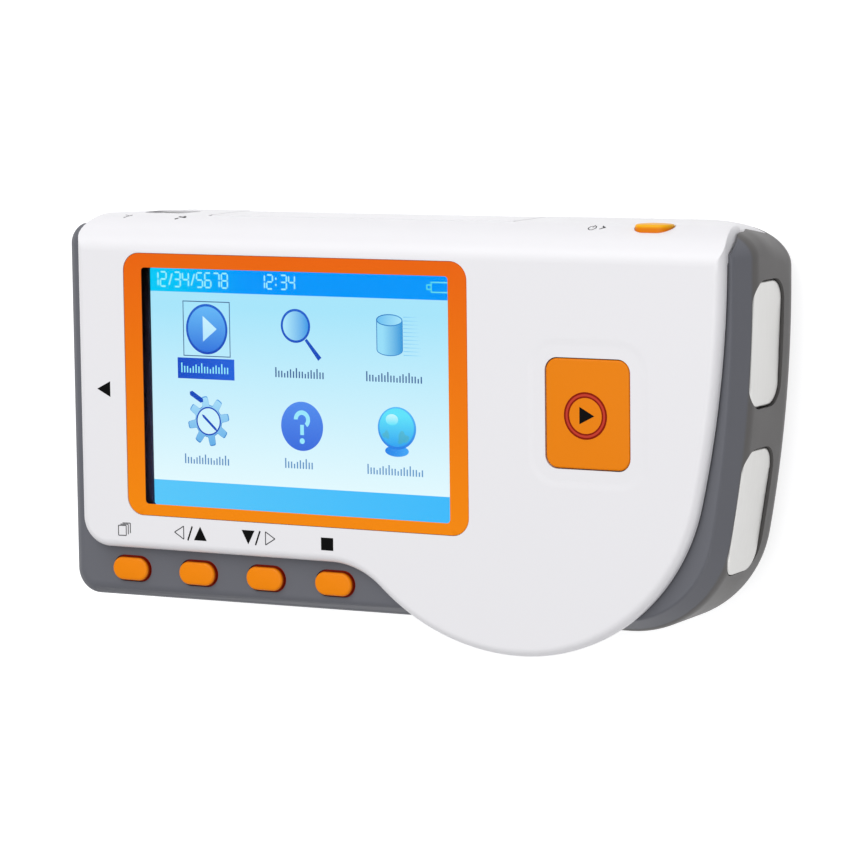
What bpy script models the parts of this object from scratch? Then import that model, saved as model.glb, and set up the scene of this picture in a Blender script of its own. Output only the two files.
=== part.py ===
"""Handheld ECG home monitor, lying on its back with the screen up.

+X runs to the right along the length, +Y to the top edge, +Z out of the screen.
All sizes are in metres.
"""
import math

import bmesh
import bpy

for old in list(bpy.data.objects):
    bpy.data.objects.remove(old)

# Driving sizes of the whole
BODY_LENGTH = 0.1250
BODY_HEIGHT = 0.0700
BODY_DEPTH = 0.0250
WALL = 0.0018
GAP = 0.0003
OVERRUN = 0.0040
FACE_OFFSET = 0.00003
ARC_STEPS = 7
ROUND_SIDES = 20

# Outline of the grey housing
TOP_CORNER_RADIUS = 0.0045
LOWER_CORNER_RADIUS = 0.0043
BACK_RADIUS = 0.0060
LOBE_RADIUS = 0.0188
SIDE_RADIUS = 0.2200
SIDE_TANGENT_DROP = 0.0092
BELLY_DROP = 0.0044
RIM_STEP = 0.0024
RIM_CHAMFER_WIDTH = 0.0019
RIM_CHAMFER_DEPTH = 0.0016
TOP_ROUND_RADIUS = 0.0060
BELLY_STEP = 0.0008
BELLY_FLOOR = 0.0004
BELLY_WALL_DROP = 0.0001

# Outline of the white cover
COVER_SIDE_MARGIN = 0.0032
COVER_RIGHT_MARGIN = 0.0030
COVER_CORNER_RADIUS = 0.0010
COVER_LOWER_RADIUS = 0.0050
COVER_EDGE_RADIUS = 0.0015
BAND_HEIGHT = 0.0087
S_CURVE_RADIUS = 0.0140
BELLY_RADIUS_SHARE = 0.2624
BELLY_SPREAD = 0.0042
COVER_SIDE_RADIUS = 0.1800
COVER_SIDE_TANGENT_DROP = 0.0042
COVER_REAR_Z = 0.0043
TOP_WALL_DEPTH = 0.0037

# Display
FRAME_LEFT_MARGIN = 0.0128
FRAME_RIGHT_MARGIN = 0.0473
FRAME_TOP_MARGIN = 0.0060
FRAME_LOWER_MARGIN = 0.0060
FRAME_THICKNESS = 0.0007
FRAME_BAND_SIDE = 0.0040
FRAME_BAND_TOP = 0.0025
FRAME_CORNER_RADIUS = 0.0030
FRAME_INNER_RADIUS = 0.0006
LEDGE_WIDTH = 0.0020
WINDOW_THICKNESS = 0.0007
GASKET_THICKNESS = 0.0005
GASKET_WIDTH = 0.0024
LCD_SIDE_INSET = 0.00095
LCD_OVERHANG = 0.00045
LCD_GLASS_THICKNESS = 0.0011
BACKLIGHT_THICKNESS = 0.0022
TRAY_WALL = 0.0006
TRAY_FLOOR = 0.0003
FLEX_WIDTH = 0.0120
FLEX_THICKNESS = 0.0003
FLEX_REACH = 0.0024

# Main board and what sits on it
BOARD_THICKNESS = 0.0016
BOARD_DROP = 0.0084
BOARD_MARGIN = 0.0034
BOARD_TOP_EDGE_DROP = 0.0048
CHIP_HEIGHT = 0.0010
PROCESSOR_SIDE = 0.0120
AMPLIFIER_LENGTH = 0.0100
AMPLIFIER_WIDTH = 0.0070
BUZZER_RADIUS = 0.0045
BUZZER_HEIGHT = 0.0028
BUZZER_HOLE_RADIUS = 0.0010
BUZZER_MARGIN = 0.0017
BUZZER_CLEARANCE = 0.0015

# Switches under the buttons
SWITCH_SIDE = 0.0045
SWITCH_HEIGHT = 0.0017
PLUNGER_RADIUS = 0.0011
PLUNGER_REST = 0.0004
PLUNGER_DEPTH = 0.0005
BUTTON_TRAVEL = 0.0005

# Buttons of the lower band
PILL_LENGTH = 0.0070
PILL_WIDTH = 0.0043
PILL_PROUD = 0.0011
PILL_FIRST_SHARE = -0.8096
PILL_RISE = 0.0049
PILL_EDGE = 0.0005
FLANGE_WIDTH = 0.0006
FLANGE_THICKNESS = 0.0007

# Play button
PLAY_LENGTH = 0.0147
PLAY_HEIGHT = 0.0174
PLAY_PLACE_SHARES = (0.5840, 0.14035)
PLAY_CORNER_RADIUS = 0.0020
PLAY_EDGE = 0.0004
PLAY_FLANGE_WIDTH = 0.0009
PLAY_DISH_MARGIN = 0.0031
PLAY_DISH_DEPTH = 0.0002
PLAY_DISH_SLOPE = 0.0006
STEM_RADIUS = 0.0020

# Power button in the top wall
POWER_LENGTH = 0.0074
POWER_WIDTH = 0.0042
POWER_PLACE_SHARE = 0.7312
POWER_DROP = 0.0060
POWER_PROUD = 0.0008
POWER_CROWN = 0.0004
POWER_SKIRT = 0.0004
POWER_FLANGE_DROP = 0.0030
POWER_SWITCH_SETBACK = 0.0012

# Lead socket in the top wall
SOCKET_PLACE_SHARE = 0.6277
SOCKET_MOUTH_LENGTH = 0.0064
SOCKET_MOUTH_WIDTH = 0.0044
SOCKET_WALL = 0.0008
SOCKET_DEPTH = 0.0086
SOCKET_LENGTH = 0.0102
SOCKET_SINK = 0.0003
PIN_COUNT = 4
PIN_SIDE = 0.0005
PIN_LENGTH = 0.0016
PIN_PITCH = 0.0013

# Battery bay and door
CELL_LENGTH = 0.0445
CELL_TIP_RADIUS = 0.0019
CELL_TIP_LENGTH = 0.0008
CELL_APART = 0.0007
CELL_ROOM = 0.0002
BAY_WALL = 0.0012
BAY_CENTRE_SHARE = -0.1384
DOOR_MARGIN = 0.0031
DOOR_THICKNESS = 0.0013
DOOR_RECESS = 0.0003
DOOR_LIP_DROP = 0.0078
DOOR_LIP_THICKNESS = 0.0018
DOOR_TONGUE = 0.0010
DOOR_TONGUE_THICKNESS = 0.0006
DOOR_RAIL_WIDTH = 0.0024
DOOR_RAIL_HEIGHT = 0.0018
DOOR_GRIP_LENGTH = 0.0160
DOOR_GRIP_WIDTH = 0.0012
DOOR_GRIP_DEPTH = 0.0004
DOOR_GRIP_PITCH = 0.0024
DOOR_GRIP_COUNT = 4
DOOR_WALL_THICKNESS = 0.0021
DOOR_WALL_RISE = 0.0010
CONTACT_THICKNESS = 0.0004
CONTACT_WIDTH_SHARE = 0.6667
SPRING_LENGTH = 0.0037
SPRING_WIRE_RADIUS = 0.00025
SPRING_TURNS = 3
SPRING_RADIUS_SHARE = 0.4952
SPRING_TIP_SHARE = 0.3048
SPRING_POINTS_PER_TURN = 10

# Electrodes in the ends
ELECTRODE_RISE_SHARE = 0.5760
ELECTRODE_DEPTH_SHARE = 0.4000
ELECTRODE_RADIUS = 0.0028
ELECTRODE_RECESS = 0.00035
ELECTRODE_FLANGE = 0.0009
ELECTRODE_THICKNESS = 0.0008
UPPER_ELECTRODE_SHARES = (0.4620, 0.5994)
LOWER_ELECTRODE_SHARES = (-0.3216, 0.5994)
LEFT_ELECTRODE_SHARES = (0.1462, 0.7018)
CLIP_WIDTH = 0.0040
CLIP_THICKNESS = 0.0004
CLIP_DROP = 0.0050
CLIP_FOOT = 0.0030

# Screws from the back
SCREW_HEAD_RADIUS = 0.0019
SCREW_HEAD_HEIGHT = 0.0012
SCREW_RADIUS = 0.0009
SCREW_SINK = 0.0012
SCREW_BITE = 0.0040
HOUSING_BOSS_RADIUS = 0.0031
COVER_BOSS_RADIUS = 0.0025
SCREW_SIDE_MARGIN = 0.0072
SCREW_CLEARANCE = 0.0004
SCREW_RISE_SHARES = (-0.400, 0.740, -0.655, 0.680, -0.330)
LOWER_SCREW_SHARE = 0.330
UPPER_SCREW_SHARE = 0.840

# Places worked out from the sizes above
HALF_LENGTH = BODY_LENGTH / 2
TOP_Y = BODY_HEIGHT / 2 - POWER_PROUD
BELLY_Y = -BODY_HEIGHT / 2
BELLY_RADIUS = BODY_LENGTH * BELLY_RADIUS_SHARE
BELLY_LEFT_RADIUS = BELLY_RADIUS + BELLY_SPREAD
HOUSING_BOTTOM_Y = BELLY_Y + BELLY_DROP
RIM_Z = BODY_DEPTH - RIM_STEP
COVER_LEFT_X = -HALF_LENGTH + COVER_SIDE_MARGIN
COVER_RIGHT_X = HALF_LENGTH - COVER_RIGHT_MARGIN
COVER_LOWER_Y = HOUSING_BOTTOM_Y + BAND_HEIGHT
COVER_INNER_Z = BODY_DEPTH - WALL
SHELF_UNDER_Z = RIM_Z - WALL
TOP_FLAT_Y = TOP_Y - TOP_ROUND_RADIUS
TOP_WALL_Y = TOP_Y - WALL
BOARD_TOP_Z = BODY_DEPTH - BOARD_DROP
BOARD_UNDER_Z = BOARD_TOP_Z - BOARD_THICKNESS
BOARD_TOP_EDGE_Y = TOP_Y - BOARD_TOP_EDGE_DROP
FRAME_LENGTH = BODY_LENGTH - FRAME_LEFT_MARGIN - FRAME_RIGHT_MARGIN
FRAME_HEIGHT = TOP_Y - COVER_LOWER_Y - FRAME_TOP_MARGIN - FRAME_LOWER_MARGIN
LCD_LENGTH = FRAME_LENGTH - LCD_SIDE_INSET * 2
LCD_HEIGHT = FRAME_HEIGHT + LCD_OVERHANG * 2
FRAME_X = -HALF_LENGTH + FRAME_LEFT_MARGIN + FRAME_LENGTH / 2
FRAME_Y = TOP_Y - FRAME_TOP_MARGIN - FRAME_HEIGHT / 2
OPENING_LENGTH = FRAME_LENGTH - FRAME_BAND_SIDE * 2
OPENING_HEIGHT = FRAME_HEIGHT - FRAME_BAND_TOP * 2
FRAME_UNDER_Z = BODY_DEPTH - FRAME_THICKNESS
LEDGE_Z = FRAME_UNDER_Z - GAP
WINDOW_LENGTH = FRAME_LENGTH - LEDGE_WIDTH * 2
WINDOW_HEIGHT = FRAME_HEIGHT - LEDGE_WIDTH * 2
WINDOW_UNDER_Z = LEDGE_Z - WINDOW_THICKNESS
GASKET_TOP_Z = COVER_INNER_Z - GAP
LCD_TOP_Z = GASKET_TOP_Z - GASKET_THICKNESS - GAP
LCD_UNDER_Z = LCD_TOP_Z - LCD_GLASS_THICKNESS
BACKLIGHT_TOP_Z = LCD_UNDER_Z - GAP
BACKLIGHT_UNDER_Z = BACKLIGHT_TOP_Z - BACKLIGHT_THICKNESS
TRAY_TOP_Z = BACKLIGHT_UNDER_Z - GAP
SWITCH_BASE_Z = BOARD_TOP_Z + GAP
SWITCH_TOP_Z = SWITCH_BASE_Z + SWITCH_HEIGHT
PLUNGER_RELEASE = BUTTON_TRAVEL + PLUNGER_REST
WELL_DEPTH = PLUNGER_DEPTH + BUTTON_TRAVEL + GAP
STEM_UNDER_Z = SWITCH_TOP_Z + PLUNGER_RELEASE + GAP
PILL_Y = HOUSING_BOTTOM_Y + PILL_RISE
PLAY_X = HALF_LENGTH * PLAY_PLACE_SHARES[0]
PLAY_Y = TOP_Y * PLAY_PLACE_SHARES[1]
POWER_X = HALF_LENGTH * POWER_PLACE_SHARE
POWER_Z = BODY_DEPTH - POWER_DROP
SOCKET_Z = BOARD_UNDER_Z - GAP - SOCKET_WALL - SOCKET_MOUTH_WIDTH / 2
CONTACT_ROOM = GAP + CONTACT_THICKNESS + GAP
BAY_LENGTH = CONTACT_ROOM + CELL_LENGTH + GAP + SPRING_LENGTH + CONTACT_ROOM
BAY_X = HALF_LENGTH * BAY_CENTRE_SHARE
BAY_LEFT = BAY_X - BAY_LENGTH / 2
BAY_RIGHT = BAY_X + BAY_LENGTH / 2
DOOR_TOP_Z = DOOR_RECESS + DOOR_THICKNESS
DOOR_LIP_TOP_Z = BODY_DEPTH - DOOR_LIP_DROP
DOOR_ROUND_CENTRE = (TOP_Y - BACK_RADIUS, BACK_RADIUS)
CELL_DEPTH = BOARD_UNDER_Z - CELL_ROOM * 4 - BAY_WALL - GAP - DOOR_TOP_Z - GAP
CELL_RADIUS = CELL_DEPTH / 2
CELL_PITCH = CELL_DEPTH + CELL_APART
CELL_Z = DOOR_TOP_Z + GAP + CELL_RADIUS
BAY_ROOF_Z = CELL_Z + CELL_RADIUS + GAP
DOOR_WALL_Y = TOP_Y - DOOR_LIP_THICKNESS - GAP
BAY_TOP = DOOR_WALL_Y - DOOR_WALL_THICKNESS
UPPER_CELL_Y = BAY_TOP - GAP - CELL_RADIUS
LOWER_CELL_Y = UPPER_CELL_Y - CELL_PITCH
BAY_BOTTOM = LOWER_CELL_Y - CELL_RADIUS - GAP
DOOR_HALF = BAY_LENGTH / 2 + DOOR_MARGIN
RAIL_LEFT = BAY_LEFT - DOOR_MARGIN - DOOR_RAIL_WIDTH
RAIL_RIGHT = BAY_RIGHT + DOOR_MARGIN + DOOR_RAIL_WIDTH
SOCKET_X = -HALF_LENGTH + (RAIL_LEFT + HALF_LENGTH) * SOCKET_PLACE_SHARE
SOCKET_END_Y = TOP_Y - SOCKET_SINK - SOCKET_LENGTH
ELECTRODE_Z = BODY_DEPTH * ELECTRODE_RISE_SHARE
ELECTRODE_DEPTH = BODY_DEPTH * ELECTRODE_DEPTH_SHARE
TRAY_RIGHT = FRAME_X + LCD_LENGTH / 2 + GAP + TRAY_WALL
BUZZER_Y = HOUSING_BOTTOM_Y + BOARD_MARGIN + BUZZER_MARGIN + BUZZER_RADIUS
DOOR_BOTTOM = BAY_BOTTOM - DOOR_MARGIN / 2


def material(name, colour, roughness, metallic=0.0, alpha=1.0):
    """Principled material in the colour of the piece."""
    made = bpy.data.materials.new(name)
    made.use_nodes = True
    shader = made.node_tree.nodes["Principled BSDF"]
    shader.inputs["Base Color"].default_value = (*colour, 1.0)
    shader.inputs["Roughness"].default_value = roughness
    shader.inputs["Metallic"].default_value = metallic
    shader.inputs["Alpha"].default_value = alpha
    made.diffuse_color = (*colour, 1.0)
    return made


def object_from(name, mesh, finish):
    """Link a mesh as an object that carries its own material."""
    mesh.materials.clear()
    if finish is not None:
        mesh.materials.append(finish)
    piece = bpy.data.objects.new(name, mesh)
    bpy.context.scene.collection.objects.link(piece)
    return piece


def loft(name, rings, finish=None):
    """Closed body through rings of points, lowest ring first, each ring anticlockwise."""
    shape = bmesh.new()
    loops = [[shape.verts.new(point) for point in ring] for ring in rings]
    count = len(loops[0])
    for below, above in zip(loops, loops[1:]):
        for i in range(count):
            j = (i + 1) % count
            shape.faces.new((below[i], below[j], above[j], above[i]))
    shape.faces.new(list(reversed(loops[0])))
    shape.faces.new(loops[-1])
    mesh = bpy.data.meshes.new(name)
    shape.to_mesh(mesh)
    shape.free()
    return object_from(name, mesh, finish)


def slab(name, outline, low, high, finish=None):
    """Flat body of one outline between two heights."""
    rings = [[(x, y, z) for x, y in outline] for z in (low, high)]
    return loft(name, rings, finish)


def block(name, low, high, finish=None):
    """Square-edged body between two corners."""
    outline = ((low[0], low[1]), (high[0], low[1]), (high[0], high[1]), (low[0], high[1]))
    return slab(name, outline, low[2], high[2], finish)


def turned(points, along, start):
    """Lay plane points in the plane square to X or Z, at a place along it."""
    if along == "x":
        return [(start, y, z) for y, z in points]
    return [(x, y, start) for x, y in points]


def rod(name, centre, radius, start, end, along="z", finish=None, sides=ROUND_SIDES):
    """Round body along X or Z; centre is its place in the plane square to that axis."""
    ring = circle(centre, radius, sides)
    return loft(name, [turned(ring, along, start), turned(ring, along, end)], finish)


def circle(centre, radius, sides=ROUND_SIDES):
    """Points round a circle, anticlockwise."""
    turn = math.tau / sides
    return [
        (centre[0] + radius * math.cos(turn * i), centre[1] + radius * math.sin(turn * i))
        for i in range(sides)
    ]


def arc(centre, radius, start, end, steps=ARC_STEPS):
    """Points on an arc between two angles in degrees."""
    points = []
    for i in range(steps + 1):
        angle = math.radians(start + (end - start) * i / steps)
        points.append((centre[0] + radius * math.cos(angle), centre[1] + radius * math.sin(angle)))
    return points


def rounded(centre, length, height, radius, steps=4):
    """Rectangle with round corners, anticlockwise."""
    x, y = length / 2 - radius, height / 2 - radius
    corners = ((-x, -y, 180), (x, -y, 270), (x, y, 0), (-x, y, 90))
    points = []
    for dx, dy, start in corners:
        points += arc((centre[0] + dx, centre[1] + dy), radius, start, start + 90, steps)
    return points


def stacked(name, levels, finish=None):
    """Body through flat outlines, each at its own height."""
    return loft(name, [[(x, y, z) for x, y in outline] for outline, z in levels], finish)


def guide(piece):
    """Hide a body that only cuts or adds to another."""
    piece.hide_render = True
    piece.display_type = "WIRE"
    return piece


def combine(target, other, operation):
    """Boolean of a target with a guide body."""
    guide(other)
    change = target.modifiers.new(other.name, "BOOLEAN")
    change.operation = operation
    change.solver = "EXACT"
    change.object = other
    return target


def cut(target, other):
    return combine(target, other, "DIFFERENCE")


def add(target, other):
    return combine(target, other, "UNION")


def keep(target, other):
    return combine(target, other, "INTERSECT")


def tangent_centre(outer, outer_radius, inner_y, inner_radius):
    """Centre x of a circle at a known height that touches a larger circle from inside."""
    reach = outer_radius - inner_radius
    return outer[0] + math.sqrt(reach ** 2 - (inner_y - outer[1]) ** 2)


def degrees(from_point, to_point):
    """Heading from one point to another."""
    return math.degrees(math.atan2(to_point[1] - from_point[1], to_point[0] - from_point[0]))


SIDE_CENTRE = (HALF_LENGTH - SIDE_RADIUS, TOP_Y - SIDE_TANGENT_DROP)
LOBE_Y = HOUSING_BOTTOM_Y + LOBE_RADIUS
LOBE_CENTRE = (tangent_centre(SIDE_CENTRE, SIDE_RADIUS, LOBE_Y, LOBE_RADIUS), LOBE_Y)
COVER_SIDE_CENTRE = (COVER_RIGHT_X - COVER_SIDE_RADIUS, TOP_Y - COVER_SIDE_TANGENT_DROP)
BELLY_CENTRE_Y = BELLY_Y + BELLY_RADIUS
BELLY_CENTRE = (
    tangent_centre(COVER_SIDE_CENTRE, COVER_SIDE_RADIUS, BELLY_CENTRE_Y, BELLY_RADIUS),
    BELLY_CENTRE_Y,
)
BELLY_LEFT_CENTRE = (BELLY_CENTRE[0], BELLY_Y + BELLY_LEFT_RADIUS)
S_CURVE_Y = COVER_LOWER_Y - S_CURVE_RADIUS
S_CURVE_REACH = BELLY_LEFT_RADIUS + S_CURVE_RADIUS
S_CURVE_X = BELLY_LEFT_CENTRE[0] - math.sqrt(
    S_CURVE_REACH ** 2 - (BELLY_LEFT_CENTRE[1] - S_CURVE_Y) ** 2
)
S_CURVE_CENTRE = (S_CURVE_X, S_CURVE_Y)


def housing_outline(inset):
    """Outline of the grey housing, moved inwards: straight sides, a wide lobe at lower right."""
    side_turn = degrees(SIDE_CENTRE, LOBE_CENTRE)
    corner = max(LOWER_CORNER_RADIUS - inset, GAP)
    top = max(TOP_CORNER_RADIUS - inset, GAP)
    low, high = corner + inset, top + inset
    points = arc((-HALF_LENGTH + low, HOUSING_BOTTOM_Y + low), corner, 180, 270, 4)
    points += arc(LOBE_CENTRE, LOBE_RADIUS - inset, 270, 360 + side_turn, 9)
    points += arc(SIDE_CENTRE, SIDE_RADIUS - inset, side_turn, 0, 5)[1:]
    points += arc((HALF_LENGTH - high, TOP_Y - high), top, 0, 90, 5)
    points += arc((-HALF_LENGTH + high, TOP_Y - high), top, 90, 180, 5)
    return points


def cover_outline(inset):
    """Outline of the white cover, moved inwards: an S curve runs into the round belly."""
    corner = COVER_LOWER_RADIUS
    top = COVER_CORNER_RADIUS
    s_turn = degrees(S_CURVE_CENTRE, BELLY_LEFT_CENTRE)
    side_turn = degrees(COVER_SIDE_CENTRE, BELLY_CENTRE)
    top_inset = min(inset, top - GAP)
    shift = inset - top_inset
    left, right, upper = COVER_LEFT_X + shift, COVER_RIGHT_X - shift, TOP_Y - shift
    points = arc((COVER_LEFT_X + corner, COVER_LOWER_Y + corner), corner - inset, 180, 270, 5)
    points += arc(S_CURVE_CENTRE, S_CURVE_RADIUS + inset, 90, s_turn, 5)
    points += arc(BELLY_LEFT_CENTRE, BELLY_LEFT_RADIUS - inset, s_turn + 180, 270, 5)[1:]
    points += arc(BELLY_CENTRE, BELLY_RADIUS - inset, 270, 360 + side_turn, 12)[1:]
    points += arc(COVER_SIDE_CENTRE, COVER_SIDE_RADIUS - inset, side_turn, 0, 4)[1:]
    points += arc((right - top, upper - top), top - top_inset, 0, 90, 2)
    points += arc((left + top, upper - top), top - top_inset, 90, 180, 2)
    return points


def under_top_round(outline, z, centre_z, radius):
    """Ring of an outline at one height, kept under the big round along the top edge."""
    rise = min(max(z - centre_z, 0.0), radius)
    limit = TOP_FLAT_Y + math.sqrt(radius ** 2 - rise ** 2)
    return [(x, min(y, limit), z) for x, y in outline]


def round_levels(start, radius, steps):
    """Heights of a quarter round that ends at a flat face."""
    return [start + radius * math.sin(math.radians(90 * i / steps)) for i in range(steps + 1)]


def edge_inset(z, face, radius):
    """How far a rounded edge draws in at one height below its face."""
    below = max(radius - (face - z), 0.0)
    return radius - math.sqrt(max(radius ** 2 - below ** 2, 0.0))


def back_round(depth, steps):
    """Rings of the round from the back to the side, at one depth inside the surface."""
    rings = []
    radius = BACK_RADIUS - depth
    for i in range(steps + 1):
        angle = math.radians(90 * i / steps)
        outline = housing_outline(depth + radius * (1 - math.sin(angle)))
        rings.append([(x, y, depth + radius * (1 - math.cos(angle))) for x, y in outline])
    return rings


def housing_blank():
    """Whole outer form of the housing: round at the back, chamfered at the rim."""
    rings = back_round(0.0, 4)
    centre_z = RIM_Z - TOP_ROUND_RADIUS
    for z in round_levels(centre_z, TOP_ROUND_RADIUS, 6):
        drop = max(z - (RIM_Z - RIM_CHAMFER_DEPTH), 0.0) / RIM_CHAMFER_DEPTH
        outline = housing_outline(RIM_CHAMFER_WIDTH * drop ** 2)
        rings.append(under_top_round(outline, z, centre_z, TOP_ROUND_RADIUS))
    return rings


def belly_blank():
    """The part of the housing that backs the cover's belly."""
    radius = BACK_RADIUS / 2
    levels = []
    for i in range(3):
        angle = math.radians(90 * i / 2)
        outline = cover_outline(BELLY_STEP + radius * (1 - math.sin(angle)))
        levels.append((outline, BELLY_FLOOR + radius * (1 - math.cos(angle))))
    levels.append((cover_outline(BELLY_STEP), RIM_Z - BELLY_WALL_DROP))
    return stacked("belly_guide", levels)


def screw_places():
    """Places of the six screws: at the left end, beside the door's rails, and on the right."""
    left = -HALF_LENGTH + SCREW_SIDE_MARGIN
    upper = SOCKET_END_Y - SCREW_CLEARANCE - HOUSING_BOSS_RADIUS
    middle = max(RAIL_RIGHT + HOUSING_BOSS_RADIUS, TRAY_RIGHT + COVER_BOSS_RADIUS) + GAP
    foot = clip_edge(1, TOP_Y * LOWER_ELECTRODE_SHARES[0]) - CLIP_FOOT
    across = (left, middle, HALF_LENGTH * LOWER_SCREW_SHARE,
              HALF_LENGTH * UPPER_SCREW_SHARE, foot - SCREW_CLEARANCE - COVER_BOSS_RADIUS)
    others = [(x, TOP_Y * share) for x, share in zip(across, SCREW_RISE_SHARES)]
    return [(left, upper)] + others


def pill_places():
    """Centres of the four buttons in the lower band: the last stands where the S curve starts."""
    first = HALF_LENGTH * PILL_FIRST_SHARE
    return [(first + (S_CURVE_X - first) * i / 3, PILL_Y) for i in range(4)]


WHITE = material("white_cover", (0.83, 0.82, 0.86), 0.22)
GREY = material("grey_housing", (0.17, 0.18, 0.20), 0.45)
ORANGE = material("orange_frame", (0.87, 0.17, 0.0), 0.35)
BUTTON_ORANGE = material("orange_button", (0.93, 0.28, 0.0), 0.35)
CLEAR = material("clear_window", (0.90, 0.95, 1.0), 0.05, 0.0, 0.25)
BLACK = material("black_foam", (0.01, 0.01, 0.015), 0.8)
DISPLAY = material("display", (0.42, 0.80, 1.0), 0.3)
STEEL = material("steel", (0.60, 0.60, 0.60), 0.3, 1.0)
SILVER = material("silver_plate", (0.76, 0.75, 0.71), 0.3, 0.8)
BOARD_GREEN = material("board_green", (0.02, 0.16, 0.06), 0.5)
CHIP_BLACK = material("chip_black", (0.02, 0.02, 0.02), 0.5)
CELL_BLUE = material("cell_blue", (0.05, 0.10, 0.30), 0.35)
POLYIMIDE = material("polyimide", (0.45, 0.16, 0.02), 0.4)
BACKLIGHT_WHITE = material("backlight_white", (0.85, 0.85, 0.85), 0.5)


def make_housing():
    """Grey tub with its rim, band, end walls, screw bosses and battery bay."""
    housing = loft("rear_housing", housing_blank(), GREY)
    add(housing, belly_blank())
    room = back_round(WALL, 3)
    room.append([(x, y, SHELF_UNDER_Z) for x, y in housing_outline(WALL)])
    cut(housing, loft("housing_room", room))
    mouth = cover_outline(WALL + BELLY_STEP)
    cut(housing, slab("housing_mouth", mouth, WALL + BELLY_FLOOR, BODY_DEPTH))
    top_room = slab("top_room", cover_outline(-GAP), COVER_REAR_Z - GAP, BODY_DEPTH)
    low = (-BODY_LENGTH, TOP_Y - TOP_WALL_DEPTH - GAP, -OVERRUN)
    keep(top_room, guide(block("top_room_limit", low, (BODY_LENGTH, BODY_HEIGHT, BODY_DEPTH * 2))))
    cut(housing, top_room)
    add_bay(housing)
    for i, place in enumerate(screw_places()):
        top = BOARD_UNDER_Z - GAP
        add(housing, rod(f"housing_boss_{i + 1}", place, HOUSING_BOSS_RADIUS, WALL / 2, top))
    for i, place in enumerate(screw_places()):
        head_z = SCREW_SINK + SCREW_HEAD_HEIGHT + GAP
        cut(housing, rod(f"head_bore_{i + 1}", place, SCREW_HEAD_RADIUS + GAP, -OVERRUN, head_z))
        cut(housing, rod(f"shank_bore_{i + 1}", place, SCREW_RADIUS + GAP, -OVERRUN, BODY_DEPTH))
        radius = COVER_BOSS_RADIUS + GAP
        cut(housing, rod(f"boss_room_{i + 1}", place, radius, BOARD_TOP_Z, BODY_DEPTH))
    for i, place in enumerate(pill_places()):
        hole = rounded(place, PILL_LENGTH + GAP * 2, PILL_WIDTH + GAP * 2, PILL_WIDTH / 2 + GAP, 5)
        cut(housing, slab(f"pill_hole_{i + 1}", hole, SHELF_UNDER_Z - GAP, BODY_DEPTH))
    for name, side, y, height in electrode_places():
        cut(housing, electrode_prism(f"{name}_hole", side, y, height, GAP))
    return housing


def add_bay(housing):
    """Battery bay: side walls, roof, rails for the door and the wall behind its lip."""
    rail = DOOR_MARGIN + DOOR_RAIL_WIDTH
    top = WALL + DOOR_RAIL_HEIGHT
    low = (BAY_LEFT - rail, DOOR_BOTTOM - BAY_WALL, WALL / 2)
    add(housing, block("bay_rails", low, (BAY_RIGHT + rail, BAY_TOP + BAY_WALL, top)))
    low = (BAY_LEFT - BAY_WALL, BAY_BOTTOM - BAY_WALL, WALL)
    high = (BAY_RIGHT + BAY_WALL, BAY_TOP + BAY_WALL, BAY_ROOF_Z + BAY_WALL)
    add(housing, block("bay_walls", low, high))
    low = (BAY_LEFT - rail, BAY_TOP, WALL)
    high = (BAY_RIGHT + rail, DOOR_WALL_Y, DOOR_LIP_TOP_Z + DOOR_WALL_RISE)
    add(housing, block("door_wall", low, high))
    low = (BAY_LEFT, BAY_BOTTOM, -OVERRUN)
    cut(housing, block("bay_room", low, (BAY_RIGHT, BAY_TOP, BAY_ROOF_Z)))
    low = (BAY_X - DOOR_HALF - GAP, DOOR_BOTTOM - GAP, -OVERRUN)
    high = (BAY_X + DOOR_HALF + GAP, BODY_HEIGHT, DOOR_TOP_Z + GAP)
    cut(housing, block("door_room", low, high))
    reach = DOOR_HALF + DOOR_TONGUE + GAP
    tongue_z = DOOR_TOP_Z - DOOR_TONGUE_THICKNESS
    low = (BAY_X - reach, DOOR_BOTTOM - GAP, tongue_z - GAP)
    cut(housing, block("tongue_groove", low, (BAY_X + reach, BODY_HEIGHT, DOOR_TOP_Z + GAP)))
    low = (BAY_X - DOOR_HALF - GAP, DOOR_WALL_Y, -OVERRUN)
    high = (BAY_X + DOOR_HALF + GAP, BODY_HEIGHT, DOOR_LIP_TOP_Z + GAP)
    cut(housing, block("lip_room", low, high))
    radius = BACK_RADIUS - DOOR_LIP_THICKNESS - GAP
    half = DOOR_HALF + GAP
    cut(housing, door_corner("corner_room", radius, half, BODY_HEIGHT, -OVERRUN))


def door_corner(name, radius, half, outer, floor):
    """Body along X between a round about the back edge's centre and a square corner."""
    y, z = DOOR_ROUND_CENTRE
    profile = arc(DOOR_ROUND_CENTRE, radius, 270, 360)
    profile += [(outer, z), (outer, floor), (y, floor)]
    rings = [[(x, u, v) for u, v in reversed(profile)] for x in (BAY_X - half, BAY_X + half)]
    return loft(name, rings)


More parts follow.
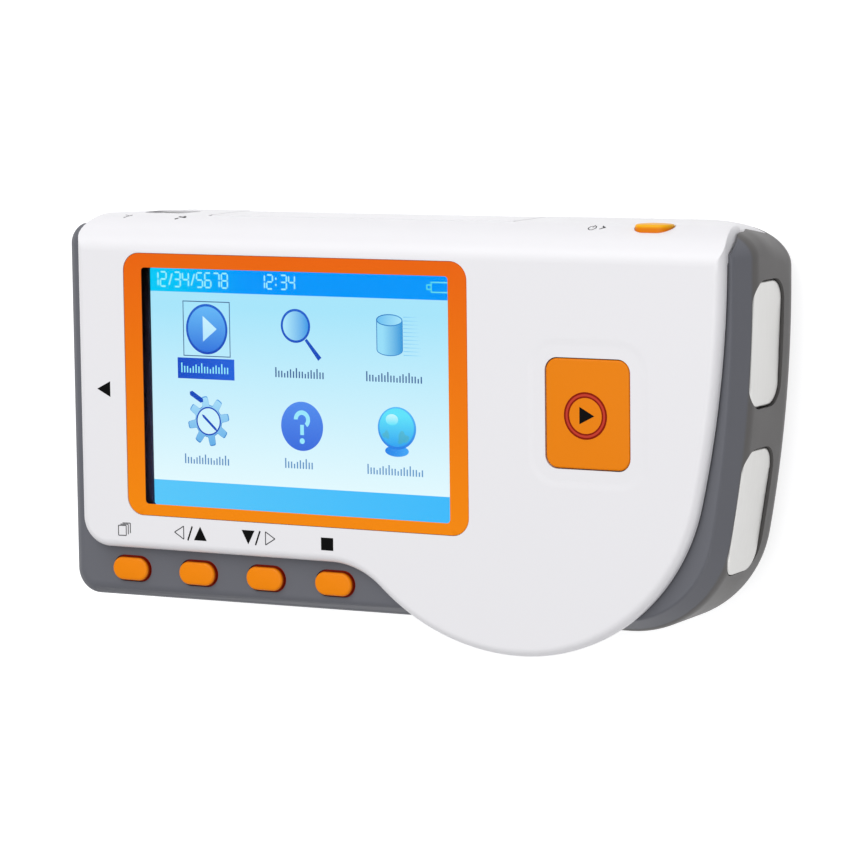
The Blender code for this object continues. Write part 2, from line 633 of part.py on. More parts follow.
def make_cover():
    """White cover: face, low skirt all round and a deep wall along the top edge."""
    centre_z = BODY_DEPTH - TOP_ROUND_RADIUS
    rings = [under_top_round(cover_outline(0.0), COVER_REAR_Z, centre_z, TOP_ROUND_RADIUS)]
    for z in round_levels(centre_z, TOP_ROUND_RADIUS, 7):
        outline = cover_outline(edge_inset(z, BODY_DEPTH, COVER_EDGE_RADIUS))
        rings.append(under_top_round(outline, z, centre_z, TOP_ROUND_RADIUS))
    cover = loft("front_cover", rings, WHITE)
    inner_radius = TOP_ROUND_RADIUS - WALL
    inner = cover_outline(WALL)
    room = [under_top_round(inner, 0.0, centre_z, inner_radius)]
    room += [
        under_top_round(inner, z, centre_z, inner_radius)
        for z in round_levels(centre_z, inner_radius, 5)
    ]
    cut(cover, loft("cover_room", room))
    low = (-BODY_LENGTH, -BODY_HEIGHT, -OVERRUN)
    high = (BODY_LENGTH, TOP_Y - TOP_WALL_DEPTH, RIM_Z + GAP)
    cut(cover, block("skirt_limit", low, high))
    for i, place in enumerate(screw_places()):
        base = BOARD_TOP_Z + GAP
        boss = rod(f"cover_boss_{i + 1}", place, COVER_BOSS_RADIUS, base, COVER_INNER_Z + WALL / 2)
        add(cover, boss)
    for i, place in enumerate(screw_places()):
        bore_end = screw_tip_z() + GAP
        cut(cover, rod(f"pilot_bore_{i + 1}", place, SCREW_RADIUS + GAP, BOARD_UNDER_Z, bore_end))
    cut_display_seat(cover)
    cut_play_seat(cover)
    hole = rounded((-POWER_X, POWER_Z), POWER_LENGTH + GAP * 2, POWER_WIDTH + GAP * 2,
                   POWER_WIDTH / 2 + GAP, 6)
    cut(cover, prism_y("power_hole", hole, TOP_WALL_Y - TOP_ROUND_RADIUS, BODY_HEIGHT))
    length = SOCKET_MOUTH_LENGTH + SOCKET_WALL * 2 + GAP * 2
    width = SOCKET_MOUTH_WIDTH + SOCKET_WALL * 2 + GAP * 2
    hole = rounded((-SOCKET_X, SOCKET_Z), length, width, SOCKET_WALL * 2, 4)
    cut(cover, prism_y("socket_hole", hole, TOP_FLAT_Y, BODY_HEIGHT))
    low = (BAY_X - DOOR_HALF - GAP, TOP_FLAT_Y, -OVERRUN)
    high = (BAY_X + DOOR_HALF + GAP, BODY_HEIGHT, DOOR_LIP_TOP_Z + GAP)
    cut(cover, block("door_notch", low, high))
    return cover


def screw_tip_z():
    """Height that the screws reach in the cover's bosses."""
    return BOARD_TOP_Z + SCREW_BITE


def prism_y(name, outline, start, end, finish=None):
    """Body along Y from an outline in x and z, x counted to the left."""
    rings = [[(-x, y, z) for x, z in outline] for y in (start, end)]
    return loft(name, rings, finish)


def cut_display_seat(cover):
    """Seat for the orange ring, and the opening that the window fills."""
    centre = (FRAME_X, FRAME_Y)
    seat = rounded(centre, FRAME_LENGTH + GAP * 2, FRAME_HEIGHT + GAP * 2,
                   FRAME_CORNER_RADIUS + GAP)
    cut(cover, slab("frame_seat", seat, LEDGE_Z, BODY_DEPTH + OVERRUN))
    opening = rounded(centre, WINDOW_LENGTH + GAP * 2, WINDOW_HEIGHT + GAP * 2,
                      FRAME_CORNER_RADIUS - GAP)
    cut(cover, slab("window_opening", opening, SHELF_UNDER_Z, LEDGE_Z + OVERRUN))


def cut_play_seat(cover):
    """Shallow dish round the play button, and its hole."""
    centre = (PLAY_X, PLAY_Y)
    length = PLAY_LENGTH + PLAY_DISH_MARGIN * 2
    height = PLAY_HEIGHT + PLAY_DISH_MARGIN * 2
    radius = PLAY_CORNER_RADIUS + PLAY_DISH_MARGIN
    slope = PLAY_DISH_SLOPE
    floor = rounded(centre, length - slope * 2, height - slope * 2, radius - slope)
    brim = rounded(centre, length, height, radius)
    rise = PLAY_DISH_DEPTH / slope * OVERRUN
    wide = rounded(centre, length + OVERRUN * 2, height + OVERRUN * 2, radius + OVERRUN)
    levels = [(floor, BODY_DEPTH - PLAY_DISH_DEPTH), (brim, BODY_DEPTH), (wide, BODY_DEPTH + rise)]
    cut(cover, stacked("play_dish", levels))
    hole = rounded(centre, PLAY_LENGTH + GAP * 2, PLAY_HEIGHT + GAP * 2, PLAY_CORNER_RADIUS + GAP)
    cut(cover, slab("play_hole", hole, SHELF_UNDER_Z, BODY_DEPTH + OVERRUN))


def ring_plate(name, centre, outer, inner, low, high, finish):
    """Flat frame between an outer and an inner round-cornered rectangle."""
    plate = slab(name, rounded(centre, *outer), low, high, finish)
    return cut(plate, slab(f"{name}_opening", rounded(centre, *inner), low - GAP, high + GAP))


def make_display():
    """Ring, window, gasket, glass, backlight and tray, from the front to the back."""
    centre = (FRAME_X, FRAME_Y)
    opening = (OPENING_LENGTH, OPENING_HEIGHT, FRAME_INNER_RADIUS)
    outer = (FRAME_LENGTH, FRAME_HEIGHT, FRAME_CORNER_RADIUS)
    ring_plate("screen_frame", centre, outer, opening, FRAME_UNDER_Z, BODY_DEPTH, ORANGE)
    outline = rounded(centre, WINDOW_LENGTH, WINDOW_HEIGHT, FRAME_CORNER_RADIUS - GAP * 2)
    slab("display_window", outline, WINDOW_UNDER_Z, LEDGE_Z, CLEAR)
    outer = (OPENING_LENGTH + GASKET_WIDTH * 2, OPENING_HEIGHT + GASKET_WIDTH * 2,
             FRAME_INNER_RADIUS)
    low = GASKET_TOP_Z - GASKET_THICKNESS
    ring_plate("display_gasket", centre, outer, opening, low, GASKET_TOP_Z, BLACK)
    half_x, half_y = LCD_LENGTH / 2, LCD_HEIGHT / 2
    low = (FRAME_X - half_x, FRAME_Y - half_y, LCD_UNDER_Z)
    block("lcd_glass", low, (FRAME_X + half_x, FRAME_Y + half_y, LCD_TOP_Z), DISPLAY)
    low = (FRAME_X - half_x, FRAME_Y - half_y, BACKLIGHT_UNDER_Z)
    block("backlight", low, (FRAME_X + half_x, FRAME_Y + half_y, BACKLIGHT_TOP_Z), BACKLIGHT_WHITE)
    side_x, side_y = half_x + GAP + TRAY_WALL, half_y + GAP + TRAY_WALL
    low = (FRAME_X - side_x, FRAME_Y - side_y, TRAY_TOP_Z - TRAY_FLOOR)
    tray = block("lcd_tray", low, (FRAME_X + side_x, FRAME_Y + side_y, LCD_TOP_Z), STEEL)
    room_x, room_y = half_x + GAP, half_y + GAP
    low = (FRAME_X - room_x, FRAME_Y - room_y, TRAY_TOP_Z)
    high = (FRAME_X + room_x, FRAME_Y + room_y, BODY_DEPTH)
    cut(tray, block("tray_room", low, high))
    half = FLEX_WIDTH / 2 + GAP
    low = (FRAME_X + half_x, FRAME_Y - half, LCD_UNDER_Z - GAP)
    high = (FRAME_X + side_x + OVERRUN, FRAME_Y + half, BODY_DEPTH)
    cut(tray, block("flex_slot", low, high))
    make_flex(side_x)


def make_flex(side_x):
    """Ribbon that leaves the glass and turns down to the board."""
    start = FRAME_X + LCD_LENGTH / 2 + GAP
    end = FRAME_X + side_x + FLEX_REACH
    under = BOARD_TOP_Z + GAP
    top = LCD_UNDER_Z + FLEX_THICKNESS
    profile = (
        (start, LCD_UNDER_Z),
        (end - FLEX_THICKNESS, LCD_UNDER_Z),
        (end - FLEX_THICKNESS, under),
        (end + FLEX_REACH, under),
        (end + FLEX_REACH, under + FLEX_THICKNESS),
        (end, under + FLEX_THICKNESS),
        (end, top),
        (start, top),
    )
    half = FLEX_WIDTH / 2
    rings = [[(x, FRAME_Y + side, z) for x, z in profile] for side in (half, -half)]
    loft("lcd_flex", rings, POLYIMIDE)


def make_board():
    """Main board, with holes for the screws and an ear under the four lower switches."""
    outline = housing_outline(BOARD_MARGIN)
    board = slab("main_board", outline, BOARD_UNDER_Z, BOARD_TOP_Z, BOARD_GREEN)
    low = (-BODY_LENGTH, BOARD_TOP_EDGE_Y, -OVERRUN)
    cut(board, block("board_top_limit", low, (BODY_LENGTH, BODY_HEIGHT, BODY_DEPTH)))
    for i, place in enumerate(screw_places()):
        bore = rod(f"board_bore_{i + 1}", place, SCREW_RADIUS + GAP * 2, -OVERRUN, BODY_DEPTH)
        cut(board, bore)
    half = CLIP_WIDTH / 2 + GAP
    for name, side, y, height in electrode_places():
        near, far = sorted((side * (clip_edge(side, y) - GAP), side * BODY_LENGTH))
        notch = block(f"{name}_notch", (near, y - half, 0.0), (far, y + half, BODY_DEPTH))
        cut(board, notch)
    return board


def make_board_parts():
    """Processor, amplifier and buzzer."""
    base = BOARD_TOP_Z + GAP
    top = base + CHIP_HEIGHT
    half = PROCESSOR_SIDE / 2
    low = (FRAME_X - half, FRAME_Y - half, base)
    block("processor", low, (FRAME_X + half, FRAME_Y + half, top), CHIP_BLACK)
    half_x, half_y = AMPLIFIER_LENGTH / 2, AMPLIFIER_WIDTH / 2
    centre_x = PLAY_X - PLAY_LENGTH / 2
    centre_y = PLAY_Y - PLAY_HEIGHT
    low = (centre_x - half_x, centre_y - half_y, base)
    block("amplifier_chip", low, (centre_x + half_x, centre_y + half_y, top), CHIP_BLACK)
    centre = (centre_x + half_x + BUZZER_CLEARANCE + BUZZER_RADIUS, BUZZER_Y)
    buzzer = rod("buzzer", centre, BUZZER_RADIUS, base, base + BUZZER_HEIGHT, "z", CHIP_BLACK)
    rise = base + BUZZER_HEIGHT / 2
    cut(buzzer, rod("buzzer_hole", centre, BUZZER_HOLE_RADIUS, rise, BODY_DEPTH))


def switch_pair(name, centre):
    """Push switch on the board and the plunger that rides in it."""
    half = SWITCH_SIDE / 2
    low = (centre[0] - half, centre[1] - half, SWITCH_BASE_Z)
    high = (centre[0] + half, centre[1] + half, SWITCH_TOP_Z)
    body = block(f"{name}_switch", low, high, CHIP_BLACK)
    well = SWITCH_TOP_Z - WELL_DEPTH
    cut(body, rod(f"{name}_well", centre, PLUNGER_RADIUS + GAP, well, BODY_DEPTH))
    low_z = SWITCH_TOP_Z - PLUNGER_DEPTH
    top_z = SWITCH_TOP_Z + PLUNGER_RELEASE
    rod(f"{name}_plunger", centre, PLUNGER_RADIUS, low_z, top_z, "z", STEEL, 12)


def make_pill_buttons():
    """Four pill buttons: crowned cap above a flange that the rim holds in."""
    names = ("menu", "left_up", "right_down", "stop")
    top = RIM_Z + PILL_PROUD
    flange_top = STEM_UNDER_Z + FLANGE_THICKNESS
    for name, centre in zip(names, pill_places()):
        flange = rounded(centre, PILL_LENGTH + FLANGE_WIDTH * 2, PILL_WIDTH + FLANGE_WIDTH * 2,
                         PILL_WIDTH / 2 + FLANGE_WIDTH, 5)
        side = rounded(centre, PILL_LENGTH, PILL_WIDTH, PILL_WIDTH / 2, 5)
        crown = rounded(centre, PILL_LENGTH - PILL_EDGE * 2, PILL_WIDTH - PILL_EDGE * 2,
                        PILL_WIDTH / 2 - PILL_EDGE, 5)
        levels = [
            (flange, STEM_UNDER_Z),
            (flange, flange_top),
            (side, flange_top),
            (side, top - PILL_EDGE),
            (crown, top),
        ]
        stacked(f"{name}_button", levels, BUTTON_ORANGE)
        switch_pair(name, centre)


def make_play_button():
    """Large start button with a flange under the cover and a stem on its switch."""
    centre = (PLAY_X, PLAY_Y)
    flange_top = COVER_INNER_Z - GAP
    flange_low = flange_top - FLANGE_THICKNESS
    flange = rounded(centre, PLAY_LENGTH + PLAY_FLANGE_WIDTH * 2,
                     PLAY_HEIGHT + PLAY_FLANGE_WIDTH * 2, PLAY_CORNER_RADIUS + PLAY_FLANGE_WIDTH)
    side = rounded(centre, PLAY_LENGTH, PLAY_HEIGHT, PLAY_CORNER_RADIUS)
    crown = rounded(centre, PLAY_LENGTH - PLAY_EDGE * 2, PLAY_HEIGHT - PLAY_EDGE * 2,
                    PLAY_CORNER_RADIUS - PLAY_EDGE)
    levels = [
        (flange, flange_low),
        (flange, flange_top),
        (side, flange_top),
        (side, BODY_DEPTH - PLAY_EDGE),
        (crown, BODY_DEPTH),
    ]
    button = stacked("play_button", levels, BUTTON_ORANGE)
    add(button, rod("play_stem", centre, STEM_RADIUS, STEM_UNDER_Z, flange_top - GAP))
    switch_pair("play", centre)


def make_power_button():
    """Oval button in the top wall, pushed towards -Y on a switch that lies on its side."""
    centre = (-POWER_X, POWER_Z)
    flange_top = TOP_Y - POWER_FLANGE_DROP
    flange_low = flange_top - FLANGE_THICKNESS
    radius = POWER_WIDTH / 2
    flange = rounded(centre, POWER_LENGTH + FLANGE_WIDTH * 2, POWER_WIDTH + FLANGE_WIDTH * 2,
                     radius + FLANGE_WIDTH, 6)
    side = rounded(centre, POWER_LENGTH, POWER_WIDTH, radius, 6)
    drop = POWER_SKIRT
    crown = rounded(centre, POWER_LENGTH - drop * 2, POWER_WIDTH - drop * 2, radius - drop, 6)
    top = BODY_HEIGHT / 2
    levels = ((flange, flange_low), (flange, flange_top), (side, flange_top),
              (side, top - POWER_CROWN), (crown, top))
    rings = [[(-x, y, z) for x, z in outline] for outline, y in levels]
    button = loft("power_button", rings, BUTTON_ORANGE)
    stem_end = flange_low - POWER_SWITCH_SETBACK
    stem = circle(centre, STEM_RADIUS)
    add(button, prism_y("power_stem", stem, stem_end, flange_top - GAP))
    face = stem_end - GAP - PLUNGER_RELEASE
    half = SWITCH_SIDE / 2
    low = (POWER_X - half, face - SWITCH_SIDE, SWITCH_BASE_Z)
    high = (POWER_X + half, face, POWER_Z + SWITCH_HEIGHT)
    body = block("power_switch", low, high, CHIP_BLACK)
    well = circle(centre, PLUNGER_RADIUS + GAP)
    cut(body, prism_y("power_well", well, face - WELL_DEPTH, BODY_HEIGHT))
    pin = circle(centre, PLUNGER_RADIUS, 12)
    prism_y("power_plunger", pin, face - PLUNGER_DEPTH, face + PLUNGER_RELEASE, STEEL)


def electrode_places():
    """Name, end, height along the end and length of each electrode."""
    return (
        ("electrode_upper_right", 1, *(TOP_Y * share for share in UPPER_ELECTRODE_SHARES)),
        ("electrode_lower_right", 1, *(TOP_Y * share for share in LOWER_ELECTRODE_SHARES)),
        ("electrode_left", -1, *(TOP_Y * share for share in LEFT_ELECTRODE_SHARES)),
    )


def electrode_prism(name, side, y, height, grow):
    """Round-cornered body along X that reaches in through one end."""
    outline = rounded((y, ELECTRODE_Z), height + grow * 2, ELECTRODE_DEPTH + grow * 2,
                      ELECTRODE_RADIUS + grow)
    near, far = sorted((side * HALF_LENGTH * 2 / 3, side * BODY_LENGTH))
    rings = [[(x, u, v) for u, v in outline] for x in (near, far)]
    return loft(name, rings)


def make_electrodes():
    """Pressed metal plates that follow the end wall, with a flange inside it."""
    inner_face = WALL + GAP + ELECTRODE_THICKNESS
    for name, side, y, height in electrode_places():
        plate = slab(name, housing_outline(ELECTRODE_RECESS), 0.0, BODY_DEPTH, SILVER)
        cut(plate, slab(f"{name}_inside", housing_outline(inner_face), -OVERRUN,
                        BODY_DEPTH + OVERRUN))
        keep(plate, electrode_prism(f"{name}_limit", side, y, height, 0.0))
        flange = slab(f"{name}_flange", housing_outline(WALL + GAP), 0.0, BODY_DEPTH)
        cut(flange, slab(f"{name}_flange_inside", housing_outline(inner_face), -OVERRUN,
                         BODY_DEPTH + OVERRUN))
        keep(flange, electrode_prism(f"{name}_flange_limit", side, y, height, ELECTRODE_FLANGE))
        add(plate, flange)
        make_clip(name.replace("electrode", "clip"), side, y)


def end_x(side, y):
    """Where the outer end wall stands at one height along it."""
    if side < 0:
        return -HALF_LENGTH
    if y > SIDE_CENTRE[1]:
        return HALF_LENGTH
    return SIDE_CENTRE[0] + math.sqrt(SIDE_RADIUS ** 2 - (y - SIDE_CENTRE[1]) ** 2)


def clip_edge(side, y):
    """How far from the middle the inner face of a clip's upright stands."""
    half = CLIP_WIDTH / 2
    wall = min(abs(end_x(side, y - half)), abs(end_x(side, y + half)))
    return wall - (WALL + GAP + ELECTRODE_THICKNESS) - GAP * 2 - CLIP_THICKNESS


def make_clip(name, side, y):
    """Spring strip that presses on the electrode and stands on the board."""
    half = CLIP_WIDTH / 2
    board_edge = clip_edge(side, y)
    face = board_edge + CLIP_THICKNESS
    under = BOARD_TOP_Z + GAP
    profile = [
        (board_edge, under - CLIP_DROP),
        (face, under - CLIP_DROP),
        (face, under + CLIP_THICKNESS),
        (board_edge - CLIP_FOOT, under + CLIP_THICKNESS),
        (board_edge - CLIP_FOOT, under),
        (board_edge, under),
    ]
    rings = [[(side * x, v, z) for x, z in profile] for v in (y + half, y - half)]
    if side < 0:
        rings.reverse()
    loft(name, rings, STEEL)


def make_socket():
    """Lead socket under the board, with its mouth in the top wall."""
    centre = (-SOCKET_X, SOCKET_Z)
    front = TOP_Y - SOCKET_SINK
    outer = rounded(centre, SOCKET_MOUTH_LENGTH + SOCKET_WALL * 2,
                    SOCKET_MOUTH_WIDTH + SOCKET_WALL * 2, SOCKET_WALL * 2 - GAP)
    body = prism_y("lead_socket", outer, SOCKET_END_Y, front, CHIP_BLACK)
    mouth = rounded(centre, SOCKET_MOUTH_LENGTH, SOCKET_MOUTH_WIDTH, SOCKET_WALL)
    floor = front - SOCKET_DEPTH
    cut(body, prism_y("socket_mouth", mouth, floor, BODY_HEIGHT))
    half = PIN_SIDE / 2
    bar = PIN_PITCH * (PIN_COUNT - 1) / 2 + PIN_SIDE
    low = (SOCKET_X - bar, floor + GAP, SOCKET_Z - PIN_SIDE)
    high = (SOCKET_X + bar, floor + GAP + PIN_SIDE, SOCKET_Z + PIN_SIDE)
    pins = block("lead_socket_pins", low, high, SILVER)
    for i in range(PIN_COUNT):
        x = SOCKET_X + PIN_PITCH * (i - (PIN_COUNT - 1) / 2)
        low = (x - half, floor + GAP * 2, SOCKET_Z - half)
        high = (x + half, floor + GAP + PIN_SIDE + PIN_LENGTH, SOCKET_Z + half)
        add(pins, block(f"pin_{i + 1}", low, high))


def make_door():
    """Battery door: plate with side tongues, and a lip that turns up over the top edge."""
    low = (BAY_X - DOOR_HALF, DOOR_BOTTOM, DOOR_RECESS)
    door = block("battery_door", low, (BAY_X + DOOR_HALF, TOP_Y, DOOR_TOP_Z), WHITE)
    lip_low = TOP_Y - DOOR_LIP_THICKNESS
    low = (BAY_X - DOOR_HALF, lip_low, DOOR_RECESS + GAP)
    high = (BAY_X + DOOR_HALF, TOP_Y - FACE_OFFSET, DOOR_LIP_TOP_Z)
    add(door, block("door_lip", low, high))
    low = (BAY_X - DOOR_HALF - DOOR_TONGUE, DOOR_BOTTOM + GAP, DOOR_TOP_Z - DOOR_TONGUE_THICKNESS)
    high = (BAY_X + DOOR_HALF + DOOR_TONGUE, BAY_TOP, DOOR_TOP_Z - FACE_OFFSET)
    add(door, block("door_tongues", low, high))
    radius = BACK_RADIUS - DOOR_LIP_THICKNESS
    outer, floor = TOP_Y - FACE_OFFSET * 2, DOOR_RECESS + FACE_OFFSET
    add(door, door_corner("door_bend", radius, DOOR_HALF, outer, floor))
    round_limit = [
        (BODY_HEIGHT / 2, BODY_DEPTH),
        (-BODY_HEIGHT, BODY_DEPTH),
        (-BODY_HEIGHT, 0.0),
    ]
    round_limit += arc(DOOR_ROUND_CENTRE, BACK_RADIUS, 270, 360)
    rings = [[(x, y, z) for y, z in reversed(round_limit)] for x in (BODY_LENGTH, -BODY_LENGTH)]
    rings = [list(reversed(ring)) for ring in reversed(rings)]
    keep(door, loft("door_round", rings))
    middle = (UPPER_CELL_Y + LOWER_CELL_Y) / 2
    for i in range(DOOR_GRIP_COUNT):
        y = middle + DOOR_GRIP_PITCH * (i - (DOOR_GRIP_COUNT - 1) / 2)
        groove = rounded((BAY_X, y), DOOR_GRIP_LENGTH, DOOR_GRIP_WIDTH, DOOR_GRIP_WIDTH / 2, 3)
        top = DOOR_RECESS + DOOR_GRIP_DEPTH
        cut(door, slab(f"door_grip_{i + 1}", groove, -OVERRUN, top))
    return door


def make_cells():
    """Two cells side by side, laid opposite ways: tip on a plate, flat end on a spring."""
    near, far = BAY_LEFT + CONTACT_ROOM, BAY_RIGHT - CONTACT_ROOM
    tip = CELL_TIP_LENGTH
    upper = (UPPER_CELL_Y, CELL_Z)
    lower = (LOWER_CELL_Y, CELL_Z)
    start = far - CELL_LENGTH
    cell = rod("battery_1", upper, CELL_RADIUS, start, far - tip, "x", CELL_BLUE, 24)
    add(cell, rod("cell_tip_1", upper, CELL_TIP_RADIUS, far - tip - GAP, far, "x", None, 12))
    make_spring("battery_spring_1", UPPER_CELL_Y, near, start - GAP)
    end = near + CELL_LENGTH
    cell = rod("battery_2", lower, CELL_RADIUS, near + tip, end, "x", CELL_BLUE, 24)
    add(cell, rod("cell_tip_2", lower, CELL_TIP_RADIUS, near, near + tip + GAP, "x", None, 12))
    make_spring("battery_spring_2", LOWER_CELL_Y, far, end + GAP)
    half = CELL_RADIUS * CONTACT_WIDTH_SHARE
    wall_x = BAY_RIGHT - GAP
    low = (wall_x - CONTACT_THICKNESS, LOWER_CELL_Y - half, CELL_Z - half)
    high = (wall_x, UPPER_CELL_Y + half, CELL_Z + half)
    block("battery_link_plate", low, high, STEEL)
    wall_x = BAY_LEFT + GAP
    for i, y in enumerate((UPPER_CELL_Y, LOWER_CELL_Y)):
        low = (wall_x, y - half, CELL_Z - half)
        high = (wall_x + CONTACT_THICKNESS, y + half, CELL_Z + half)
        block(f"battery_contact_{i + 1}", low, high, STEEL)


def make_spring(name, y, start, end):
    """Cone spring: one wire wound on a radius that shrinks from the plate to the cell."""
    steps = SPRING_TURNS * SPRING_POINTS_PER_TURN
    inward = math.copysign(SPRING_WIRE_RADIUS, end - start)
    first, last = start + inward, end - inward
    points = []
    for i in range(steps + 1):
        share = i / steps
        angle = math.tau * i / SPRING_POINTS_PER_TURN
        reach = SPRING_RADIUS_SHARE + (SPRING_TIP_SHARE - SPRING_RADIUS_SHARE) * share
        radius = CELL_RADIUS * reach
        x = first + (last - first) * share
        points.append((x, y + radius * math.cos(angle), CELL_Z + radius * math.sin(angle)))
    curve = bpy.data.curves.new(name, "CURVE")
    curve.dimensions = "3D"
    curve.bevel_depth = SPRING_WIRE_RADIUS
    curve.bevel_resolution = 1
    curve.use_fill_caps = True
    line = curve.splines.new("POLY")
    line.points.add(steps)
    for point, place in zip(line.points, points):
        point.co = (*place, 1.0)
    curve.materials.append(STEEL)
    bpy.context.scene.collection.objects.link(bpy.data.objects.new(name, curve))
    half_turn = SPRING_POINTS_PER_TURN // 2
    least = min(
        math.dist(points[i], points[j])
        for i in range(steps + 1)
        for j in range(i + half_turn, steps + 1)
    )
    print(f"{name}: least gap of the wire to itself {least - SPRING_WIRE_RADIUS * 2:.5f} m")


def make_screws():
    """Six screws from the back through the board into the cover."""
    for i, place in enumerate(screw_places()):
        head_top = SCREW_SINK + SCREW_HEAD_HEIGHT
        head = circle(place, SCREW_HEAD_RADIUS, 16)
        shank = circle(place, SCREW_RADIUS, 16)
        edge = circle(place, SCREW_HEAD_RADIUS - GAP, 16)
        tip = circle(place, SCREW_RADIUS / 2, 16)
        levels = [
            (edge, SCREW_SINK),
            (head, SCREW_SINK + GAP),
            (head, head_top),
            (shank, head_top),
            (shank, screw_tip_z() - SCREW_RADIUS),
            (tip, screw_tip_z()),
        ]
        screw = stacked(f"rear_screw_{i + 1}", levels, STEEL)
        half, width = SCREW_HEAD_RADIUS / 2, SCREW_HEAD_RADIUS / 8
        slot_top = SCREW_SINK + SCREW_HEAD_HEIGHT / 2
        for j, (dx, dy) in enumerate(((half, width), (width, half))):
            low = (place[0] - dx, place[1] - dy, -OVERRUN)
            cut(screw, block(f"cross_{i + 1}_{j + 1}", low, (place[0] + dx, place[1] + dy, slot_top)))


make_housing()
make_cover()
make_display()
make_board()
make_board_parts()
make_pill_buttons()
make_play_button()
make_power_button()
make_electrodes()
make_socket()
make_door()
make_cells()
make_screws()

for piece in bpy.context.scene.objects:
    if piece.type == "MESH" and not piece.hide_render:
        piece.data.shade_smooth()
        piece.data.set_sharp_from_angle(angle=math.radians(35))
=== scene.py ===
import bpy
import numpy as np
from mathutils import Matrix, Vector


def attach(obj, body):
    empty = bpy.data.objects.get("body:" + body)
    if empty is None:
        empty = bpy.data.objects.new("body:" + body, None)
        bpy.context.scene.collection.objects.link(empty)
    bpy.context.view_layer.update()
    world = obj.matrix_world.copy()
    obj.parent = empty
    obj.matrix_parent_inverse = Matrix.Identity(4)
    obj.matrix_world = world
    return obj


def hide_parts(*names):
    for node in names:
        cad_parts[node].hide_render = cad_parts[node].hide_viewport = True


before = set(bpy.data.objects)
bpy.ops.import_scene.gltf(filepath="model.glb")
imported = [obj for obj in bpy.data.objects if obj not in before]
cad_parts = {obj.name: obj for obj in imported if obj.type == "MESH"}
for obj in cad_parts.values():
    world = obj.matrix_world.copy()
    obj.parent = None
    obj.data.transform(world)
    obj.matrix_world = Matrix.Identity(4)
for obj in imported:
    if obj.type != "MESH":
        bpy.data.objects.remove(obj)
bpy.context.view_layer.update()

scene = bpy.context.scene
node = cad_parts


# Camera: a long lens 0.6 m off, to the right of the monitor and a little above its middle,
# so that the right end and the top edge show. The sensor width is that of the long side.
camera = bpy.data.objects.new("camera", bpy.data.cameras.new("camera"))
scene.collection.objects.link(camera)
photo_width, focal_length = 857.0, 3650.0  # pixels
camera.data.sensor_width = 36.0
camera.data.lens = focal_length * camera.data.sensor_width / photo_width
camera.matrix_world = Matrix((
    (0.8790, -0.0454, 0.4747, 0.28618),
    (-0.0118, 0.9931, 0.1168, 0.06982),
    (-0.4767, -0.1083, 0.8724, 0.53605),
    (0.0, 0.0, 0.0, 1.0),
))
scene.camera = camera


# Studio: a pale sheet under the monitor, a white room and four soft lamps. Both look white to
# the camera and through glass, the sheet also in gloss, and the sheet keeps the shadow.
def fill(made, values):
    """Values for the inputs of a shader node, by their labels with a _ for each space."""
    for label, value in values.items():
        made.inputs[label.replace("_", " ")].default_value = value
    return made


def add(tree, kind, **values):
    """New shader node of one kind, with values for its inputs."""
    return fill(tree.nodes.new("ShaderNode" + kind), values)


def shine(name, colour, strength):
    """Plain glow of one colour."""
    made = bpy.data.materials.new(name)
    made.use_nodes = True
    tree = made.node_tree
    tree.nodes.clear()
    glow = add(tree, "Emission", Color=(*colour, 1.0), Strength=strength)
    out = add(tree, "OutputMaterial")
    tree.links.new(glow.outputs["Emission"], out.inputs["Surface"])
    return made


def any_ray(tree, *kinds):
    """Output that is one for a ray of any of the kinds: the largest of their values."""
    rays = add(tree, "LightPath")
    found = rays.outputs[kinds[0]]
    for kind in kinds[1:]:
        larger = add(tree, "Math")
        larger.operation = "MAXIMUM"
        tree.links.new(found, larger.inputs[0])
        tree.links.new(rays.outputs[kind], larger.inputs[1])
        found = larger.outputs[0]
    return found


half, level = 3.0, -0.0004
sheet_mesh = bpy.data.meshes.new("sheet")
sheet_mesh.from_pydata([(-half, -half, level), (half, -half, level), (half, half, level),
                        (-half, half, level)], [], [(0, 1, 2, 3)])
sheet = bpy.data.objects.new("sheet", sheet_mesh)
scene.collection.objects.link(sheet)
paper = shine("paper", (1.0, 1.0, 1.0), 0.80)
tree = paper.node_tree
glow, out = (next(n for n in tree.nodes if n.type == kind)
             for kind in ("EMISSION", "OUTPUT_MATERIAL"))
matt = add(tree, "BsdfDiffuse", Color=(0.45, 0.45, 0.46, 1.0))
both = add(tree, "AddShader")
mix = add(tree, "MixShader")
link = tree.links.new
link(glow.outputs[0], both.inputs[0])
link(matt.outputs[0], both.inputs[1])
link(any_ray(tree, "Is Camera Ray", "Is Glossy Ray", "Is Transmission Ray"), mix.inputs[0])
link(matt.outputs[0], mix.inputs[1])
link(both.outputs[0], mix.inputs[2])
link(mix.outputs[0], out.inputs["Surface"])
sheet_mesh.materials.append(paper)

room = bpy.data.worlds.new("room")
scene.world = room
room.use_nodes = True
tree = room.node_tree
tree.nodes.clear()
seen = add(tree, "Background", Color=(1.0, 1.0, 1.0, 1.0), Strength=1.0)
light = add(tree, "Background", Color=(0.97, 0.98, 1.0, 1.0), Strength=0.42)
mix = add(tree, "MixShader")
out = add(tree, "OutputWorld")
link = tree.links.new
link(any_ray(tree, "Is Camera Ray", "Is Transmission Ray"), mix.inputs[0])
link(light.outputs[0], mix.inputs[1])
link(seen.outputs[0], mix.inputs[2])
link(mix.outputs[0], out.inputs["Surface"])


def lamp(name, place, size, power):
    """Square soft lamp that looks at the middle of the monitor."""
    light = bpy.data.lights.new(name, "AREA")
    light.size = size
    light.energy = power
    made = bpy.data.objects.new(name, light)
    scene.collection.objects.link(made)
    made.location = place
    made.rotation_mode = "QUATERNION"
    middle = Vector((0.0, 0.0, 0.012))
    made.rotation_quaternion = (middle - Vector(place)).to_track_quat("-Z", "Y")


